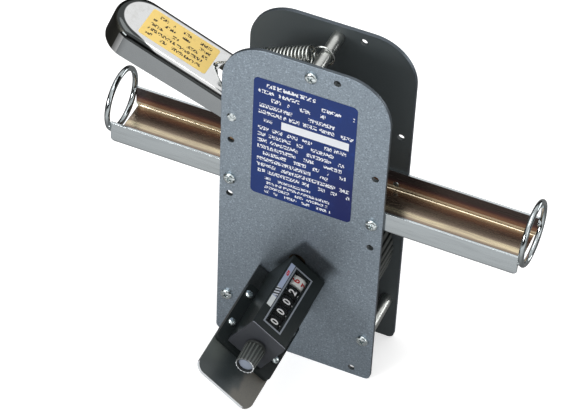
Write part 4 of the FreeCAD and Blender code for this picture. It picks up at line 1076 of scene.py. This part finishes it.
def figure_mesh(figure):
    """A figure's mesh in the XY plane, about the origin and a trace thick, ready to be bent."""
    half_depth = 0.01
    boldness = 0.022
    trace = 0.02 * MM
    narrowing = 0.92
    strips = 8
    curve = bpy.data.curves.new("figure", "FONT")
    curve.body = str(figure)
    curve.align_x = "CENTER"
    curve.extrude = half_depth
    curve.offset = boldness
    curve.resolution_u = 4
    mesh = baked(linked("figure", curve))
    heights = [vertex.co.y for vertex in mesh.vertices]
    middles = [vertex.co.x for vertex in mesh.vertices]
    scale = sizes().figure_height / (max(heights) - min(heights))
    middle = Vector(((max(middles) + min(middles)) / 2, (max(heights) + min(heights)) / 2, 0))
    bm = bmesh.new()
    bm.from_mesh(mesh)
    bmesh.ops.translate(bm, vec=-middle, verts=bm.verts)
    bmesh.ops.scale(bm, vec=(scale * narrowing, scale, trace / half_depth), verts=bm.verts)
    bmesh.ops.remove_doubles(bm, verts=bm.verts, dist=0.001 * MM)
    for step in range(1 - strips // 2, strips // 2):
        level = sizes().figure_height * step / strips
        everything = bm.verts[:] + bm.edges[:] + bm.faces[:]
        bmesh.ops.bisect_plane(bm, geom=everything, dist=0.0001 * MM, plane_co=(0, level, 0),
                               plane_no=(0, 1, 0))
    bmesh.ops.recalc_face_normals(bm, faces=bm.faces)
    bm.to_mesh(mesh)
    bm.free()
    return mesh


class METER_OT_figures(MeterOperator, bpy.types.Operator):
    """Prints the figures round the number wheels"""

    bl_idname = "meter.figures"
    bl_label = "Figures"

    def execute(self, context):
        size = sizes()
        shelf = shelf_matrix()
        lift = 0.015 * MM
        white = plain_ink("figure_white", tuple(colours().figures), 0.45)
        red = plain_ink("figure_red", tuple(colours().tenths), 0.45)
        templates = [figure_mesh(figure) for figure in range(10)]
        drums = (("tenths", "counter_drive"), ("units", "units"), ("tens", "tens"),
                 ("hundreds", "hundreds"), ("thousands", "thousands"))
        for place, (drum, body) in enumerate(drums):
            shown = size.reading // 10 ** place % 10
            if place == 0:
                shown = shown + size.rolled
            low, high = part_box(drum + "_wheel")
            centre = (low.y + high.y) / 2 - PLATE_LOW.y
            radius = (high.z - low.z) / 2
            bm = bmesh.new()
            for figure, template in enumerate(templates):
                bent = template.copy()
                for vertex in bent.vertices:
                    aside, up, rise = vertex.co
                    angle = (shown - figure) * math.tau / 10 + up / radius + size.figure_turn
                    out = radius + rise + lift
                    vertex.co = (-math.sin(angle) * out, centre + aside, math.cos(angle) * out)
                bm.from_mesh(bent)
                bpy.data.meshes.remove(bent)
            bmesh.ops.transform(bm, matrix=shelf, verts=bm.verts)
            bmesh.ops.recalc_face_normals(bm, faces=bm.faces)
            settle(bm, drum + "_figures", red if place == 0 else white, body)
        return {"FINISHED"}


class METER_OT_knob(MeterOperator, bpy.types.Operator):
    """Finishes the reset knob, its disc and its shaft"""

    bl_idname = "meter.knob"
    bl_label = "Reset knob"

    def execute(self, context):
        dress(knob_plastic(), "reset_knob")
        dress(plain_ink("knob_disc", (0.27, 0.31, 0.38), 0.35), "knob_cap")
        dress(drawn_steel(), "reset_shaft")
        return {"FINISHED"}


# ---- stage -------------------------------------------------------------------------------------

# The point that the lamps face, near the middle of the counter.
LIT_POINT = Vector((0, -0.01, 0.12))


def lamp(name, place, width, height, power):
    """A soft lamp at a place, turned to the point that is lit."""
    data = bpy.data.lights.new(name, "AREA")
    data.shape = "RECTANGLE"
    data.size = width
    data.size_y = height
    data.energy = power
    towards = LIT_POINT - Vector(place)
    turn = towards.to_track_quat("-Z", "Y").to_matrix().to_4x4()
    linked(name, data).matrix_world = Matrix.Translation(place) @ turn


def ray(tree, name):
    """The socket that says whether a ray of that kind is being followed."""
    return tree.nodes.new("ShaderNodeLightPath").outputs[name]


def bench_top():
    """White where it is seen. In gloss it is grey and falls off towards the object and its left."""
    shade = tuple(colours().floor)
    finish = Finish("bench_top", shade, roughness=0.9, emission_strength=1.0)
    x, y, _ = finish.place()
    mirrored = y.ramp(-0.28, 0.03, 0.95, 0.20) * x.ramp(-0.55, -0.12, 0.12, 1.0)
    gloss = Value(finish, ray(finish.tree, "Is Glossy Ray"))
    straight = Value(finish, ray(finish.tree, "Is Camera Ray"))
    glow = finish.mix(straight, (0, 0, 0), (0.55, 0.55, 0.55))
    mirrored = finish.vector(mirrored, mirrored, mirrored)
    finish.feed("Emission Color", finish.mix(gloss, glow, mirrored))
    finish.feed("Base Color", finish.mix(gloss, shade, (0, 0, 0)))
    return finish.material


def bench():
    """The bench top, a flat sheet that is no part of the counter."""
    bm = bmesh.new()
    bmesh.ops.create_grid(bm, x_segments=1, y_segments=1, size=4)
    mesh = mesh_of(bm, "bench_top")
    mesh.materials.append(bench_top())
    linked("bench_top", mesh)


def studio_world():
    """A pale room. In gloss it is dark near the horizon and bright higher up."""
    world = bpy.data.worlds.new("studio")
    world.use_nodes = True
    tree = world.node_tree
    tree.nodes.clear()

    def background(strength):
        light = tree.nodes.new("ShaderNodeBackground")
        light.inputs["Color"].default_value = (1, 1, 1, 1)
        light.inputs["Strength"].default_value = strength
        return light.outputs[0]

    def blend(share, first, second):
        mixer = tree.nodes.new("ShaderNodeMixShader")
        for slot, socket in enumerate((share, first, second)):
            tree.links.new(socket, mixer.inputs[slot])
        return mixer.outputs[0]

    direction = tree.nodes.new("ShaderNodeTexCoord").outputs["Generated"]
    upwards = tree.nodes.new("ShaderNodeVectorMath")
    upwards.operation = "DOT_PRODUCT"
    upwards.inputs[1].default_value = (0.0, 0.0, 1.0)
    tree.links.new(direction, upwards.inputs[0])
    wall = tree.nodes.new("ShaderNodeMapRange")
    wall.interpolation_type = "SMOOTHSTEP"
    wall.inputs["From Min"].default_value = 0.42
    wall.inputs["From Max"].default_value = 0.62
    tree.links.new(upwards.outputs["Value"], wall.inputs["Value"])
    in_gloss = blend(wall.outputs[0], background(0.04), background(1.0))
    seen = blend(ray(tree, "Is Camera Ray"), background(0.45), background(1.0))
    output = tree.nodes.new("ShaderNodeOutputWorld")
    tree.links.new(blend(ray(tree, "Is Glossy Ray"), seen, in_gloss), output.inputs[0])
    bpy.context.scene.world = world


def camera_axes():
    """The camera's right, up and back directions, and where it looks."""
    view = bpy.context.scene.meter_view
    turn, lift, roll = view.azimuth, view.elevation, view.roll
    level_reach = math.cos(lift)
    back = Vector((math.sin(turn) * level_reach, -math.cos(turn) * level_reach, math.sin(lift)))
    right = Vector((math.cos(turn), math.sin(turn), 0))
    up = back.cross(right)
    level = right * math.cos(roll) + up * math.sin(roll)
    upright = up * math.cos(roll) - right * math.sin(roll)
    return level, upright, back, Vector(view.aim)


class METER_OT_stage(MeterOperator, bpy.types.Operator):
    """Sets the bench top, the lamps, the room and the camera"""

    bl_idname = "meter.stage"
    bl_label = "Stage"

    def execute(self, context):
        scene = context.scene
        view = scene.meter_view
        level, upright, back, aim = camera_axes()
        bench()
        studio_world()
        lamp("key_lamp", (-0.75, -1.25, 0.62), 0.5, 0.4, 9.0)
        lamp("top_lamp", (-0.2, -0.1, 1.5), 1.1, 0.9, 9.0)
        lamp("right_lamp", (1.3, -0.8, 0.7), 0.8, 0.8, 4.0)
        lamp("back_lamp", (1.0, 1.3, 0.35), 0.8, 0.5, 5.0)
        facing = Matrix((level, upright, back)).transposed().to_4x4()
        data = bpy.data.cameras.new("view_camera")
        data.lens = view.lens
        data.sensor_width = 36
        data.clip_start = 0.05
        data.clip_end = 50
        camera = linked("view_camera", data)
        camera.matrix_world = Matrix.Translation(aim + back * view.distance) @ facing
        scene.camera = camera
        scene.view_settings.view_transform = "Standard"
        return {"FINISHED"}


# ---- panel -------------------------------------------------------------------------------------

PIECES = (METER_OT_stage, METER_OT_plates, METER_OT_panels, METER_OT_screws, METER_OT_trough,
          METER_OT_wheel, METER_OT_lever, METER_OT_spring, METER_OT_counter, METER_OT_figures,
          METER_OT_knob)


class METER_PT_pieces(bpy.types.Panel):
    """Lists the sizes, the colours and the pieces"""

    bl_idname = "METER_PT_pieces"
    bl_label = "Cable length counter"
    bl_space_type = "VIEW_3D"
    bl_region_type = "UI"
    bl_category = "Length counter"

    def draw(self, context):
        layout = self.layout
        scene = context.scene
        for heading, group in (("Sizes", scene.meter_sizes), ("Colours", scene.meter_colours),
                               ("View", scene.meter_view)):
            box = layout.box()
            box.label(text=heading)
            for name in group.__annotations__:
                box.prop(group, name)
        for operator in PIECES:
            layout.operator(operator.bl_idname, text=operator.bl_label)


GROUPS = (("meter_sizes", MeterSizes), ("meter_colours", MeterColours), ("meter_view", MeterView))


def register():
    for name, group in GROUPS:
        bpy.utils.register_class(group)
        setattr(bpy.types.Scene, name, PointerProperty(type=group))
    for thing in PIECES + (METER_PT_pieces,):
        bpy.utils.register_class(thing)


def unregister():
    for thing in (METER_PT_pieces,) + PIECES[::-1]:
        bpy.utils.unregister_class(thing)
    for name, group in GROUPS[::-1]:
        delattr(bpy.types.Scene, name)
        bpy.utils.unregister_class(group)


def main():
    register()
    for operator in PIECES:
        area, name = operator.bl_idname.split(".")
        getattr(getattr(bpy.ops, area), name)()


if __name__ == "__main__":
    main()
